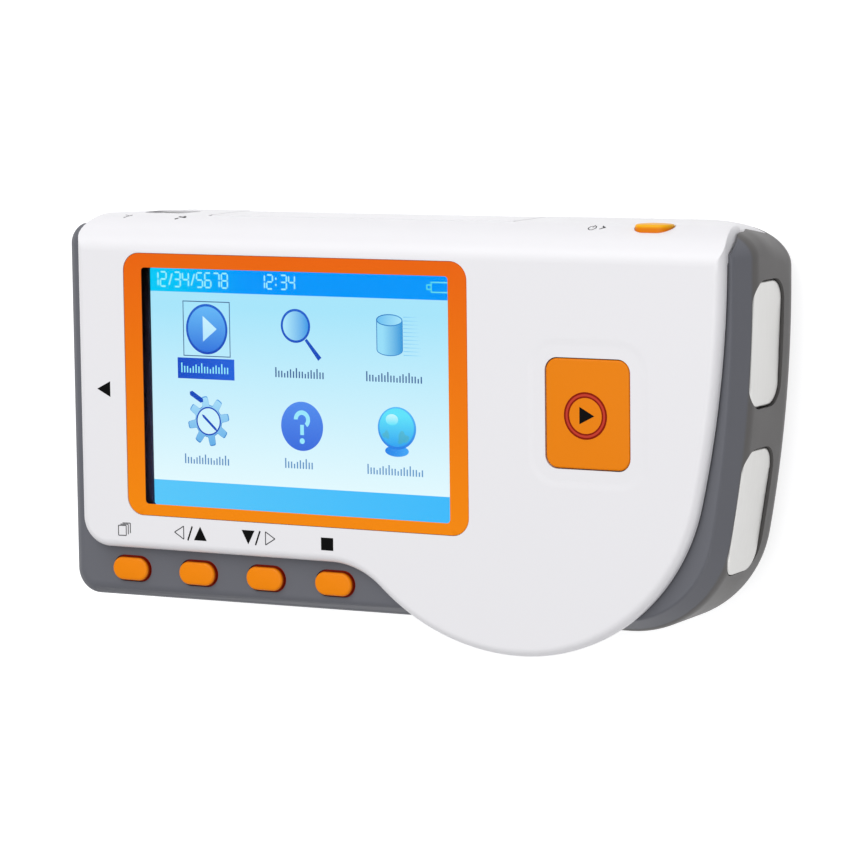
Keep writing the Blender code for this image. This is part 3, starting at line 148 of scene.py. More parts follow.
lamp("lamp_over", (-0.25, 0.75, 0.85), 0.70, 5.6)
lamp("lamp_edge", (-0.15, 1.05, 0.30), 0.60, 2.2)
lamp("lamp_front", (0.05, 0.05, 1.10), 0.80, 3.8)
lamp("lamp_end", (0.85, -0.62, 0.16), 0.60, 2.4)
scene.view_settings.view_transform = "Standard"


# Front cover: one moulding of glossy white ABS with its face, a skirt, a deep wall along the
# top edge and seats for the display and the start button. It closes over the grey housing.
LEFT, RIGHT, TOP, FACE, FOOT = -59.3, 59.5, 34.2, 24.97, 4.3
ROUND, ROUND_Y, ROUND_Z = 6.0, 28.2, 16.0
WALL = 1.8


def sweep(x, y, radius, start, end, count):
    """Arc on every level at once: the centre plus the radius times the cosine and sine of an
    angle that runs evenly from start to end, in degrees."""
    angle = np.radians(np.linspace(start, end, count))
    x, y, radius = (np.atleast_1d(np.asarray(v, float))[:, None] for v in (x, y, radius))
    across = np.broadcast_arrays(x + radius * np.cos(angle), y + radius * np.sin(angle))
    return np.stack(across, axis=-1)


def heading(start, end):
    """Angle in degrees of the line from one point to another."""
    return float(np.degrees(np.arctan2(end[1] - start[1], end[0] - start[0])))


def top_corners(left, right, length, height, inset, steps):
    """Both upper corners as quarter ellipses on every level, moved inwards by the inset: the
    corner plus its length times the cosine and its height times the sine of an angle."""
    length = np.maximum(np.broadcast_to(length - inset, inset.shape), 0.3)
    height = np.maximum(np.broadcast_to(height - inset, inset.shape), 0.3)
    reach = np.stack((length, height), axis=-1)[:, None]
    y = TOP - inset - height
    right_place = np.stack((right - inset - length, y), axis=-1)[:, None]
    left_place = np.stack((left + inset + length, y), axis=-1)[:, None]
    return np.concatenate((right_place + reach * sweep(0, 0, 1.0, 0, 90, steps),
                           left_place + reach * sweep(0, 0, 1.0, 90, 180, steps)), axis=1)


def cover_outline(inset, z=25.0):
    """Outline of the cover on every level: the drawn outline moved inwards by the inset. Arcs
    keep their centres and lose the inset from their radius, and the S curve gains it. The
    upper corners grow in a straight line from the face to the back edge."""
    inset = np.atleast_1d(np.asarray(inset, float))
    forward = np.clip((np.asarray(z, float) - FOOT) / (ROUND_Z - FOOT), 0.0, 1.0)
    corner, neck, swell, belly, side = 5.0, 14.0, 37.0, 32.8, 180.0
    foot, belly_y, swell_y, side_y = -21.9, -2.2, 2.0, 30.0
    side_x = RIGHT - side
    belly_x = side_x + np.sqrt((side - belly) ** 2 - (belly_y - side_y) ** 2)
    neck_y = foot - neck
    neck_x = belly_x - np.sqrt((swell + neck) ** 2 - (swell_y - neck_y) ** 2)
    turn = heading((neck_x, neck_y), (belly_x, swell_y))
    side_turn = heading((side_x, side_y), (belly_x, belly_y))
    return np.concatenate((
        sweep(LEFT + corner, foot + corner, corner - inset, 180, 270, 24),
        sweep(neck_x, neck_y, neck + inset, 90, turn, 20),
        sweep(belly_x, swell_y, swell - inset, turn + 180, 270, 24)[:, 1:],
        sweep(belly_x, belly_y, belly - inset, 270, 360 + side_turn, 60)[:, 1:],
        sweep(side_x, side_y, side - inset, side_turn, 0, 16)[:, 1:],
        top_corners(LEFT, RIGHT, 11.5 - 9.7 * forward, 3.9, inset, 12),
    ), axis=1)


def over_top(rings, middle, reach, rise):
    """Rings held under the round along the top edge: no point lies past the ellipse about the
    line at ROUND_Y and the height middle, with that reach and rise."""
    share = np.clip((rings[..., 2] - middle) / rise, 0.0, 1.0)
    rings[..., 1] = np.minimum(rings[..., 1], ROUND_Y + reach * np.sqrt(1 - share ** 2))
    return rings


def rounded(x, y, length, height, radius, steps=10):
    """Rectangle with round corners on every level, anticlockwise, from four quarter arcs."""
    length, height, radius = (np.atleast_1d(np.asarray(v, float)) for v in (length, height, radius))
    dx, dy = length / 2 - radius, height / 2 - radius
    return np.concatenate((
        sweep(x - dx, y - dy, radius, 180, 270, steps),
        sweep(x + dx, y - dy, radius, 270, 360, steps),
        sweep(x + dx, y + dy, radius, 0, 90, steps),
        sweep(x - dx, y + dy, radius, 90, 180, steps),
    ), axis=1)


def widened(size, gap):
    """Length, height and corner radius of a rounded rectangle with half the gap added all
    round."""
    length, height, radius = size
    return length + gap, height + gap, radius + gap / 2


def at_heights(outline, height):
    """Rings of an outline, each at its own height."""
    height = np.asarray(height, float)[:, None, None]
    outline = np.broadcast_to(outline, (len(height), *outline.shape[1:]))
    return np.concatenate((outline, np.broadcast_to(height, (*outline.shape[:2], 1))), axis=2)


def skin(name, rings, loop=False):
    """Mesh over a grid of points in millimetres: point i of each ring joins point i of the next
    by a quad, and a face fills each end ring. With loop the last ring joins the first."""
    rings = np.asarray(rings, float)
    rows, count = rings.shape[:2]
    index = np.arange(rows * count).reshape(rows, count)
    if loop:
        index = np.concatenate((index, index[:1]))
    right = np.roll(index, -1, axis=1)
    quads = np.stack((index[:-1], right[:-1], right[1:], index[1:]), axis=-1).reshape(-1, 4)
    faces = quads.tolist()
    if not loop:
        faces += [index[0, ::-1].tolist(), index[-1].tolist()]
    mesh = bpy.data.meshes.new(name)
    mesh.from_pydata((rings.reshape(-1, 3) / 1000.0).tolist(), [], faces)
    made = bpy.data.objects.new(name, mesh)
    scene.collection.objects.link(made)
    return made


def brick(name, low, high):
    """Square-edged block between two corners, for cutting or joining."""
    x, y, z = (np.array([a, b], float) for a, b in zip(low, high))
    ring = np.array([[x[0], y[0]], [x[1], y[0]], [x[1], y[1]], [x[0], y[1]]])
    return skin(name, at_heights(ring[None], z))


def carve(piece, shapes, operation="DIFFERENCE"):
    """Cut the shapes from a piece, or join them to it, in one exact Boolean. The result stays
    as the piece's mesh and the shapes go."""
    group = bpy.data.collections.new(piece.name + "_shapes")
    scene.collection.children.link(group)
    for shape in shapes:
        scene.collection.objects.unlink(shape)
        group.objects.link(shape)
    change = piece.modifiers.new("carve", "BOOLEAN")
    change.operation = operation
    change.operand_type = "COLLECTION"
    change.collection = group
    change.solver = "EXACT"
    ready = piece.evaluated_get(bpy.context.evaluated_depsgraph_get())
    result = bpy.data.meshes.new_from_object(ready)
    piece.modifiers.clear()
    piece.data = result
    for shape in shapes:
        bpy.data.objects.remove(shape)
    bpy.data.collections.remove(group)
    return piece


def smooth(piece, finish, angle=28.0):
    """Shade a piece smooth but for its sharp edges, with large faces leading the shading."""
    piece.data.materials.clear()
    piece.data.materials.append(finish)
    piece.data.shade_smooth()
    piece.data.set_sharp_from_angle(angle=np.radians(angle))
    weight = piece.modifiers.new("shading", "WEIGHTED_NORMAL")
    weight.keep_sharp = True
    return piece


def surface(name, **values):
    """Material of one main shader, with values for its inputs, and its tree and shader."""
    made = bpy.data.materials.new(name)
    made.use_nodes = True
    shader = made.node_tree.nodes["Principled BSDF"]
    return made, made.node_tree, fill(shader, values)


def colour_mix(tree, first, last):
    """Node that mixes two colours."""
    made = tree.nodes.new("ShaderNodeMix")
    made.data_type = "RGBA"
    made.inputs["A"].default_value = (*first, 1.0)
    made.inputs["B"].default_value = (*last, 1.0)
    return made


def uneven_gloss(tree, shader, scale, low, high):
    """Roughness that a noise on the piece moves between two values."""
    place = add(tree, "TexCoord")
    noise = add(tree, "TexNoise", Scale=scale, Detail=2.0)
    spread = add(tree, "MapRange", To_Min=low, To_Max=high)
    link = tree.links.new
    link(place.outputs["Object"], noise.inputs["Vector"])
    link(noise.outputs["Fac"], spread.inputs["Value"])
    link(spread.outputs["Result"], shader.inputs["Roughness"])


def plastic(name, colour, rough, mottle=0.02, grain=0.03, grain_size=0.12, coat=0.0, gleam=0.5):
    """Moulded plastic. A slow noise shifts the colour a little and a second one the gloss, and
    a fine noise of grain_size millimetres gives the skin its grain as a bump, if it has any."""
    made, tree, shader = surface(name, Coat_Weight=coat, Coat_Roughness=0.08,
                                 Specular_IOR_Level=gleam)
    uneven_gloss(tree, shader, 160.0, rough * 0.88, rough * 1.12)
    place = add(tree, "TexCoord")
    slow = add(tree, "TexNoise", Scale=45.0, Detail=3.0)
    shade = np.array(colour)
    tint = colour_mix(tree, np.clip(shade * (1 - mottle), 0, 1), np.clip(shade * (1 + mottle), 0, 1))
    link = tree.links.new
    link(place.outputs["Object"], slow.inputs["Vector"])
    link(slow.outputs["Fac"], tint.inputs["Factor"])
    link(tint.outputs["Result"], shader.inputs["Base Color"])
    if grain:
        fine = add(tree, "TexNoise", Scale=1000.0 / grain_size, Detail=2.0)
        bump = add(tree, "Bump", Strength=grain, Distance=grain_size / 1000.0)
        link(place.outputs["Object"], fine.inputs["Vector"])
        link(fine.outputs["Fac"], bump.inputs["Height"])
        link(bump.outputs["Normal"], shader.inputs["Normal"])
    return made


white_abs = plastic("white_abs", (0.795, 0.785, 0.805), 0.34, 0.004, grain=0.0, gleam=0.4)
turn = np.radians(np.linspace(0, 90, 34))
height = np.concatenate(([FOOT, 10.0], ROUND_Z + (FACE - ROUND_Z) * np.sin(turn)))
face_edge = 1.5
draw_in = np.clip(height - (FACE - face_edge), 0.0, face_edge)
inset = face_edge - np.sqrt(face_edge ** 2 - draw_in ** 2)
cover = skin("white_cover", over_top(
    at_heights(cover_outline(inset, height), height), ROUND_Z, ROUND, FACE - ROUND_Z))
turn = np.radians(np.linspace(0, 90, 16))
inner_rise = 7.2
height = np.concatenate(([-2.0], ROUND_Z + inner_rise * np.sin(turn)))
hollow = skin("hollow", over_top(
    at_heights(cover_outline(np.full(len(height), WALL), height), height),
    ROUND_Z, ROUND - WALL, inner_rise))
ring_place, ring_size = (-17.25, 6.05), (64.9, 44.1, 3.0)
ring_seat = skin("ring_seat", at_heights(
    rounded(*ring_place, *widened(ring_size, 0.12), 14), [24.0, 30.0]))
view_place = (-17.3, 5.825)
through = [20.0, 27.0]
view_hole = skin("view_hole", at_heights(rounded(*view_place, 61.6, 41.6, 2.0, 10), through))
start_place, start_size = (36.42, 4.65), (14.6, 17.4, 2.0)
dish_size, dish_dip = (21.5, 24.2, 5.4), 0.03
slope = np.linspace(0.0, 1.0, 14)
dish = at_heights(rounded(*start_place, *widened(dish_size, (slope - 1.0) * 3.0), 12),
                  FACE - dish_dip - dish_dip * np.cos(np.pi * slope))
brim = at_heights(rounded(*start_place, *dish_size, 12), [FACE + 1.0])
start_dish = skin("start_dish", np.concatenate((dish, brim)))
start_hole = skin("start_hole", at_heights(
    rounded(*start_place, *widened(start_size, 0.3), 10), through))


def along_x(profile, start, end):
    """Rings of a profile drawn in y and z, at two places along X."""
    profile = np.broadcast_to(profile, (2, len(profile), 2))
    place = np.broadcast_to(np.array([start, end], float)[:, None, None], (*profile.shape[:2], 1))
    return np.concatenate((place, profile), axis=2)


def along_y(outline, places):
    """Rings of an outline drawn in x and z, carried along Y to the given places. X is turned
    round before and after, so that the faces still point outwards."""
    rings = at_heights(outline, places)
    return np.stack((-rings[..., 0], rings[..., 2], rings[..., 1]), axis=-1)


# The cover keeps its face and its top wall. Its ends stop at a quarter ellipse between the two,
# and a prism below that line cuts the rest away.
turn = np.radians(np.linspace(0, 90, 14))
seam_y, seam_reach, seam_rise = 28.4, 2.9, 18.6
seam = np.stack((seam_y + seam_reach * np.cos(turn), FOOT + seam_rise * np.sin(turn)), axis=-1)
limit = skin("limit", along_x(np.concatenate(
    ([(-60, -5), (seam_y + seam_reach, -5)], seam, [(-60, FOOT + seam_rise)])), -80, 80))
power_place, socket_place = (-45.5, 19.0), (48.0, 11.7)
power_hole = skin("power_hole", along_y(rounded(*power_place, 6.7, 4.5, 2.2, 12), [26.0, 40.0]))
socket_hole = skin("socket_hole", along_y(rounded(*socket_place, 8.6, 6.6, 1.6, 8), [27.0, 40.0]))
door_left, door_right = -37.3, 20.0
door_notch = brick("door_notch", (door_left, 27.0, -5), (door_right, 40.0, 17.7))
carve(cover, [hollow, ring_seat, view_hole, start_dish, start_hole, limit, power_hole,
              socket_hole, door_notch])
smooth(cover, white_abs)
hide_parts("front_cover")
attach(cover, "root")


# Rear housing: the grey tub, moulded in a softer matt plastic. A slanted band leads from its
# rim to the sides, and its back is well rounded. It holds the bay, the bosses and the keys.
END, SIDE, SIDE_Y = 62.5, 220.0, 25.0
BACK_ROUND, RIM = 6.0, 22.58


def housing_outline(inset, z=25.0):
    """Outline of the housing on every level, moved inwards by the inset: straight left end and
    foot, a wide lobe at the lower right, a long side curve and two upper corners that grow
    towards the back."""
    inset = np.atleast_1d(np.asarray(inset, float))
    forward = np.clip((np.asarray(z, float) - BACK_ROUND) / 7.6, 0.0, 1.0)
    lobe, low, corner = 18.8, -30.6, 4.3
    side_x, lobe_y = END - SIDE, low + lobe
    lobe_x = side_x + np.sqrt((SIDE - lobe) ** 2 - (lobe_y - SIDE_Y) ** 2)
    turn = heading((side_x, SIDE_Y), (lobe_x, lobe_y))
    radius = np.maximum(corner - inset, 0.3)
    centre = radius + inset
    return np.concatenate((
        sweep(-END + centre, low + centre, radius, 180, 270, 16),
        sweep(lobe_x, lobe_y, lobe - inset, 270, 360 + turn, 48),
        sweep(side_x, SIDE_Y, SIDE - inset, turn, 0, 20)[:, 1:],
        top_corners(-END, END, 12.0 - 4.0 * forward, 7.0 - 2.0 * forward, inset, 18),
    ), axis=1)


def back_round(depth, count):
    """Rings from the back to the side along a quarter circle of BACK_ROUND less the depth."""
    turn = np.radians(np.linspace(0, 90, count))
    radius = BACK_ROUND - depth
    return at_heights(housing_outline(depth + radius * (1 - np.sin(turn)), BACK_ROUND),
                      depth + radius * (1 - np.cos(turn)))


def bend(start, corner, end, count):
    """Quadratic curve from start to end that leaves and arrives in line with the corner."""
    t = np.linspace(0.0, 1.0, count)[:, None]
    start, corner, end = (np.array(p, float) for p in (start, corner, end))
    return (1 - t) ** 2 * start + 2 * t * (1 - t) * corner + t ** 2 * end


def run_along(tree, axis, start, end):
    """Node that rises from nought at the place start to one at the place end, in millimetres
    along an axis of the piece."""
    place = add(tree, "TexCoord")
    axes = add(tree, "SeparateXYZ")
    fade = add(tree, "MapRange", From_Min=start / 1000.0, From_Max=end / 1000.0)
    tree.links.new(place.outputs["Object"], axes.inputs["Vector"])
    tree.links.new(axes.outputs[axis], fade.inputs["Value"])
    return fade


def shade_along(made, axis, start, end, first, last):
    """Colour that runs along one axis of a piece, from the first at the place start to the
    last at the place end, in millimetres."""
    tree = made.node_tree
    tint = next(n for n in tree.nodes if n.type == "MIX")
    fade = run_along(tree, axis, start, end)
    tree.links.new(fade.outputs["Result"], tint.inputs["Factor"])
    tint.inputs["A"].default_value = (*first, 1.0)
    tint.inputs["B"].default_value = (*last, 1.0)
    return made


# Painted light and shade: a warmer grey on the end wall below the crease at about 19 mm and a
# lighter, bluer grey on the slanted band above it, standing in for the different light on the two
# faces.
grey_abs_painted_shading = shade_along(plastic("grey_abs_painted_shading", (0.12, 0.12, 0.13), 0.45, grain=0.05, gleam=0.3),
                       "Z", 18.9, 19.3, (0.115, 0.110, 0.107), (0.127, 0.130, 0.148))
wall = np.array([[0.0, 8.0], [0.0, 11.0], [0.0, 13.6], [0.0, 15.0]])
flat_edge = np.concatenate((wall, bend((0.0, 20.6), (0.0, 21.5), (0.6, 21.9), 10),
                            bend((1.0, 22.15), (1.6, RIM), (2.5, RIM), 7)))
slope_edge = np.concatenate((wall, bend((0.0, 17.3), (0.0, 18.6), (0.62, 19.2), 10),
                             bend((2.05, 22.0), (2.3, 22.55), (2.6, RIM), 7)))
flat_rim, slope_rim = (at_heights(housing_outline(edge[:, 0], edge[:, 1]), edge[:, 1])
                       for edge in (flat_edge, slope_edge))
flat_end, slope_start = -5.0, 35.0
along = np.clip((flat_rim[:1, :, :1] - flat_end) / (slope_start - flat_end), 0.0, 1.0)
along = along ** 2 * (3 - 2 * along)
middle, outer_rise, inner_rise = 14.9, 8.2, 5.9
rim = over_top(flat_rim * (1 - along) + slope_rim * along, middle, ROUND, outer_rise)
housing = skin("grey_housing", np.concatenate((back_round(0.0, 16), rim)))
turn = np.radians(np.linspace(0, 90, 6))
belly_gap, belly_round = 0.8, 3.0
height = np.concatenate((0.4 + belly_round * (1 - np.cos(turn)), [22.5]))
belly_inset = belly_gap + np.concatenate((belly_round * (1 - np.sin(turn)), [0.0]))
belly = over_top(at_heights(cover_outline(belly_inset, FOOT), height),
                 middle, ROUND - WALL, inner_rise)
carve(housing, [skin("belly", belly)], "UNION")
height = middle + inner_rise * np.sin(np.radians(np.linspace(0, 90, 8)))
room_top = over_top(at_heights(housing_outline(np.full(8, WALL), height), height),
                    middle, ROUND - WALL, inner_rise)
mouth = skin("mouth", at_heights(cover_outline([2.6, 2.6]), [2.2, 30.0]))
height = np.array([4.0, 16.0, 30.0])
top_wall_y = 30.2
top_room = at_heights(cover_outline(np.full(3, -0.3), height), height)
top_room[..., 1] = np.maximum(top_room[..., 1], top_wall_y)
carve(housing, [skin("room", np.concatenate((back_round(WALL, 5), room_top))), mouth,
                skin("top_room", top_room),
                brick("corner_room", (-58.6, top_wall_y, 4.1), (58.6, 40.0, 29.9))])
bosses = [(-55.3, 20.2), (-55.3, -13.7), (25.5, 25.3), (20.6, -22.4), (52.5, 23.3), (49.4, -11.3)]


def pillar(name, place, radius, low, high, sides=32):
    """Upright round bar, for cutting or joining."""
    return skin(name, at_heights(sweep(*place, [radius], 0, 360 - 360 / sides, sides), [low, high]))


carve(housing, [
    brick("rails", (-39.4, 4.95, 0.9), (22.1, 31.2, 3.6)),
    brick("bay_walls", (-35.1, 6.5, 1.8), (17.8, 31.2, 13.9)),
    brick("door_wall", (-39.4, 30.0, 1.8), (22.1, 32.1, 18.2)),
    *(pillar(f"boss_{i}", place, 3.1, 0.9, 14.7) for i, place in enumerate(bosses)),
], "UNION")


corner = np.concatenate((sweep(ROUND_Y, BACK_ROUND, 3.9, 270, 360, 16)[0],
                         [(40, BACK_ROUND), (40, -5), (ROUND_Y, -5)]))
plate_z, plate_width, plate_radius = 13.35, 11.1, 3.4
# The middle of each electrode in y, and its length.
plates = {
    "electrode_upper_right": (15.65, 19.9),
    "electrode_lower_right": (-10.85, 19.9),
    "electrode_left": (5.0, 24.0),
}
end_holes = []
for name, (y, length) in plates.items():
    reach = (-90.0, -50.0) if "left" in name else (50.0, 90.0)
    hole_size = widened((length, plate_width, plate_radius), 0.3)
    hole = along_x(rounded(y, plate_z, *hole_size, 12)[0], *reach)
    end_holes.append(skin("hole_" + name, hole))
keys = [-50.6, -37.4, -24.2, -11.0]
key_y, key_size = -25.66, (7.0, 3.9, 1.94)
carve(housing, [
    brick("bay", (-33.9, 7.7, -5), (16.6, 30.0, 12.7)),
    brick("door_space", (door_left, 5.85, -5), (door_right, 60.0, 1.9)),
    brick("grooves", (door_left - 1.0, 5.85, 0.7), (door_right + 1.0, 60.0, 1.9)),
    brick("lip_space", (door_left, 32.1, -5), (door_right, 60.0, 17.5)),
    skin("corner", along_x(corner[::-1], door_left, door_right)),
    *(pillar(f"head_{i}", place, 2.2, -5, 2.7) for i, place in enumerate(bosses)),
    *(pillar(f"shank_{i}", place, 1.2, -5, 30) for i, place in enumerate(bosses)),
    *(pillar(f"post_{i}", place, 2.8, 16.6, 30) for i, place in enumerate(bosses)),
    *(skin(f"key_{i}", at_heights(rounded(x, key_y, *widened(key_size, 0.6), 12), [19.0, 30.0]))
      for i, x in enumerate(keys)),
    *end_holes,
])
smooth(housing, grey_abs_painted_shading)
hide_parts("rear_housing")
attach(housing, "root")


# Electrodes: pressed stainless plates with a satin silver face, clipped in the ends of the
# housing. Both hands touch them. Each follows its end wall and has a soft rolled edge.
def satin_metal(name, colour, rough, lines):
    """Brushed metal: a noise drawn out along Y shifts the roughness and scratches the bump."""
    made, tree, shader = surface(name, Base_Color=(*colour, 1.0), Metallic=1.0)
    place = add(tree, "TexCoord")
    stretch = add(tree, "Mapping", Scale=(1.0, 0.06, 1.0))
    noise = add(tree, "TexNoise", Scale=2600.0, Detail=3.0)
    spread = add(tree, "MapRange", To_Min=rough * 0.8, To_Max=rough * 1.25)
    bump = add(tree, "Bump", Strength=lines, Distance=0.00008)
    link = tree.links.new
    link(place.outputs["Object"], stretch.inputs["Vector"])
    link(stretch.outputs["Vector"], noise.inputs["Vector"])
    link(noise.outputs["Fac"], spread.inputs["Value"])
    link(spread.outputs["Result"], shader.inputs["Roughness"])
    link(noise.outputs["Fac"], bump.inputs["Height"])
    link(bump.outputs["Normal"], shader.inputs["Normal"])
    return made


def end_wall(y):
    """Distance of the right end wall from the middle: straight above SIDE_Y, and below that on
    the circle of the side curve."""
    drop = np.minimum(y - SIDE_Y, 0.0)
    return END - SIDE + np.sqrt(SIDE ** 2 - drop ** 2)


silver = satin_metal("silver_plate", (0.62, 0.615, 0.60), 0.42, 0.12)
for name, (y, length) in plates.items():
    turn = np.linspace(0, np.pi / 2, 8)
    lip_inset = np.concatenate(([0.0], 0.5 * (1 - np.cos(turn))))
    lip_depth = np.concatenate(([1.3], 0.85 - 0.5 * np.sin(turn)))
    lip_size = widened((length, plate_width, plate_radius), -2 * lip_inset)
    lip = rounded(y, plate_z, *lip_size, 14)
    share = np.linspace(0.97, 0.0, 16)[:-1, None, None]
    centre = np.array([y, plate_z])
    face = centre + share * (lip[-1] - centre)
    outline = np.concatenate((lip, face))
    depth = np.concatenate((lip_depth, np.full(len(face), lip_depth[-1])))[:, None]
    left = "left" in name
    wall = np.full(outline.shape[:2], END) if left else end_wall(outline[..., 0])
    rings = np.concatenate(((wall - depth)[..., None], outline), axis=2)
    if left:
        rings = rings[:, ::-1] * [-1, 1, 1]
    plate = smooth(skin("plate_" + name, rings), silver, 40.0)
    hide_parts(name)
    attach(plate, "root")


# Screen frame: a thin orange ring, glued in its seat and flush with the face. Its edges are
# lightly broken, and the painted face has a fine gloss.
def ring_band(name, outer, inner, section):
    """Closed ring: the section's first value runs from the outer outline (0) to the inner (1),
    its second is the height, and every section point joins the same point of the next."""
    start = rounded(*outer, 14)[0]
    end = rounded(*inner, 14)[0]
    section = np.array(section, float)
    share = section[:, 0][:, None, None]
    rings = at_heights(start * (1 - share) + end * share, section[:, 1])
    return skin(name, rings, loop=True)


# Painted light and shade: the orange is darker and redder at the top of the ring and brighter
# towards its foot.
orange_paint = shade_along(plastic("orange_paint", (0.86, 0.165, 0.003), 0.45, gleam=0.12),
                           "Y", 28.0, -16.0, (0.78, 0.120, 0.0), (0.88, 0.240, 0.0))
section = [(0.0, 24.3), (0.0, 24.85), (0.02, 24.94), (0.05, FACE), (0.95, FACE),
           (0.99, 24.94), (1.0, 24.90), (0.90, 24.3)]
screen_ring = ring_band("orange_ring", (*ring_place, *ring_size),
                        (-17.2, 5.83, 58.0, 39.75, 0.6), section)
smooth(screen_ring, orange_paint, 35.0)
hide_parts("screen_frame")
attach(screen_ring, "root")


# Display window: clear acrylic behind the ring, polished on both faces.
clear, tree, shader = surface("clear_acrylic", Base_Color=(0.98, 0.99, 1.0, 1.0),
                              Transmission_Weight=1.0, IOR=1.15)
uneven_gloss(tree, shader, 30.0, 0.01, 0.05)
window_inset = np.array([0.1, 0.0, 0.0, 0.1])
window = skin("window", at_heights(
    rounded(*view_place, *widened((61.1, 41.1, 1.7), -2 * window_inset), 10),
    [23.3, 23.4, 23.9, 24.0]))
smooth(window, clear, 35.0)
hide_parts("display_window")
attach(window, "root")


# Display: a lit colour panel under the window. Its picture is a menu of six signs with a head
# and a foot bar; bars stand for the words. Each part of the picture is a thin lit film.
PANEL, LAYER, FILM = 22.12, 0.012, 0.008


def lit(name, low, high, axis="X", span=(-46.0, 11.0), eased=False):
    """Lit colour that runs from low to high along one axis between two places in millimetres."""
    made = shine(name, (1.0, 1.0, 1.0), 1.0)
    tree = made.node_tree
    glow = next(n for n in tree.nodes if n.type == "EMISSION")
    fade = run_along(tree, axis, *span)
    fade.interpolation_type = "SMOOTHSTEP" if eased else "LINEAR"
    tint = colour_mix(tree, low, high)
    tree.links.new(fade.outputs["Result"], tint.inputs["Factor"])
    tree.links.new(tint.outputs["Result"], glow.inputs["Color"])
    return made


def strokes(name, outlines, layer, finish):
    """Thin film on the panel in a numbered layer, from outlines in x and y that have one count
    of points. Point i of each outline rises to its copy, and each outline is a closed shell."""
    low = PANEL + layer * LAYER
    outlines = np.asarray(outlines, float)
    shells, count = outlines.shape[:2]
    level = np.broadcast_to(np.array([low, low + FILM])[:, None, None], (shells, 2, count, 1))
    points = np.concatenate((np.repeat(outlines[:, None], 2, axis=1), level), axis=3)
    index = np.arange(shells * 2 * count).reshape(shells, 2, count)
    right = np.roll(index, -1, axis=2)
    sides = np.stack((index[:, 0], right[:, 0], right[:, 1], index[:, 1]), axis=-1)
    faces = sides.reshape(-1, 4).tolist() + index[:, 0, ::-1].tolist() + index[:, 1].tolist()
    mesh = bpy.data.meshes.new(name)
    mesh.from_pydata((points.reshape(-1, 3) / 1000.0).tolist(), [], faces)
    mesh.materials.append(finish)
    made = bpy.data.objects.new(name, mesh)
    scene.collection.objects.link(made)
    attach(made, "root")
    return made


def film(name, outline, layer, finish):
    """Film of one outline."""
    return strokes(name, [outline], layer, finish)


def box_outline(x0, y0, x1, y1):
    """Upright rectangle between two corners as an outline."""
    return [(x0, y0), (x1, y0), (x1, y1), (x0, y1)]


def disc(x, y, radius, tall=1.0, sides=56):
    """Circle or upright ellipse as an outline."""
    return sweep(0, 0, radius, 0, 360 - 360 / sides, sides)[0] * [1.0, tall] + [x, y]


def hoop(name, x, y, outer, inner, layer, finish, tall=1.0, face=PANEL, thickness=FILM):
    """Flat ring film between two circles: a closed loop of four circles."""
    low = face + layer * LAYER
    radius = [outer, outer, inner, inner]
    level = [low, low + thickness, low + thickness, low]
    rings = at_heights(sweep(0, 0, radius, 0, 360 - 360 / 64, 64) * [1.0, tall] + [x, y], level)
    made = skin(name, rings, loop=True)
    made.data.materials.append(finish)
    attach(made, "root")
    return made


pale = lit("pale_cyan", (0.78, 0.96, 1.0), (0.40, 0.80, 0.97), "Y", (-10.0, 19.0))
left, right, low, high = -46.8, 12.6, -14.7, 26.6
film("picture_ground", box_outline(left, low, right, high), 0, pale)
head_blue = lit("head_blue", (0.0, 0.58, 0.93), (0.0, 0.31, 0.98), "X", (-46.0, -26.0), True)
film("head_bar", box_outline(left, 21.6, right, high), 1, head_blue)
foot_blue = lit("foot_blue", (0.10, 0.58, 0.96), (0.05, 0.50, 0.97))
film("foot_bar", box_outline(left, low, right, -10.2), 1, foot_blue)
deep = lit("deep_blue", (0.010, 0.075, 0.56), (0.020, 0.13, 0.72), "X", (-41.0, -29.0))
dark_ink = lit("dark_ink", (0.03, 0.09, 0.26), (0.05, 0.13, 0.32))
soft_ink = lit("soft_ink", (0.10, 0.24, 0.50), (0.13, 0.32, 0.60))
bright = lit("bright_ink", (0.30, 0.88, 0.96), (0.36, 0.76, 1.0))
film("chosen_label", box_outline(-41.0, 7.1, -29.9, 10.6), 2, deep)
strokes("chosen_frame", [box_outline(*box) for box in (
    (-39.8, 20.0, -30.6, 20.15), (-39.8, 10.9, -30.6, 11.05),
    (-39.8, 11.05, -39.65, 20.0), (-30.75, 11.05, -30.6, 20.0))], 2, dark_ink)
words = {
    "word_measure": (-40.3, 8.1, -30.6, bright), "word_review": (-22.0, 8.0, -12.8, dark_ink),
    "word_memory": (-4.8, 8.0, 6.0, dark_ink), "word_setting": (-39.9, -7.2, -31.1, soft_ink),
    "word_help": (-20.4, -7.0, -14.6, soft_ink), "word_language": (-4.8, -7.2, 6.0, soft_ink),
}
for name, (x0, y, x1, finish) in words.items():
    places = np.arange(x0, x1 - 0.2, 0.56)
    tall = np.resize((1.65, 1.1, 1.1, 0.75, 1.1, 1.4, 1.1), len(places))
    strokes(name, [box_outline(x, y, x + 0.24, y + high) for x, high in zip(places, tall)],
            3, finish)


def bar(start, end, thick):
    """Stroke between two points as a hexagon with pointed ends."""
    start, end = np.array(start, float), np.array(end, float)
    run = (end - start) * np.array([0.06, 0.16, 0.84, 0.94, 0.84, 0.16])[:, None]
    side = np.array([start[1] - end[1], end[0] - start[0]]) / np.hypot(*(end - start))
    return start + run + side * thick * np.array([0, -0.5, -0.5, 0, 0.5, 0.5])[:, None]


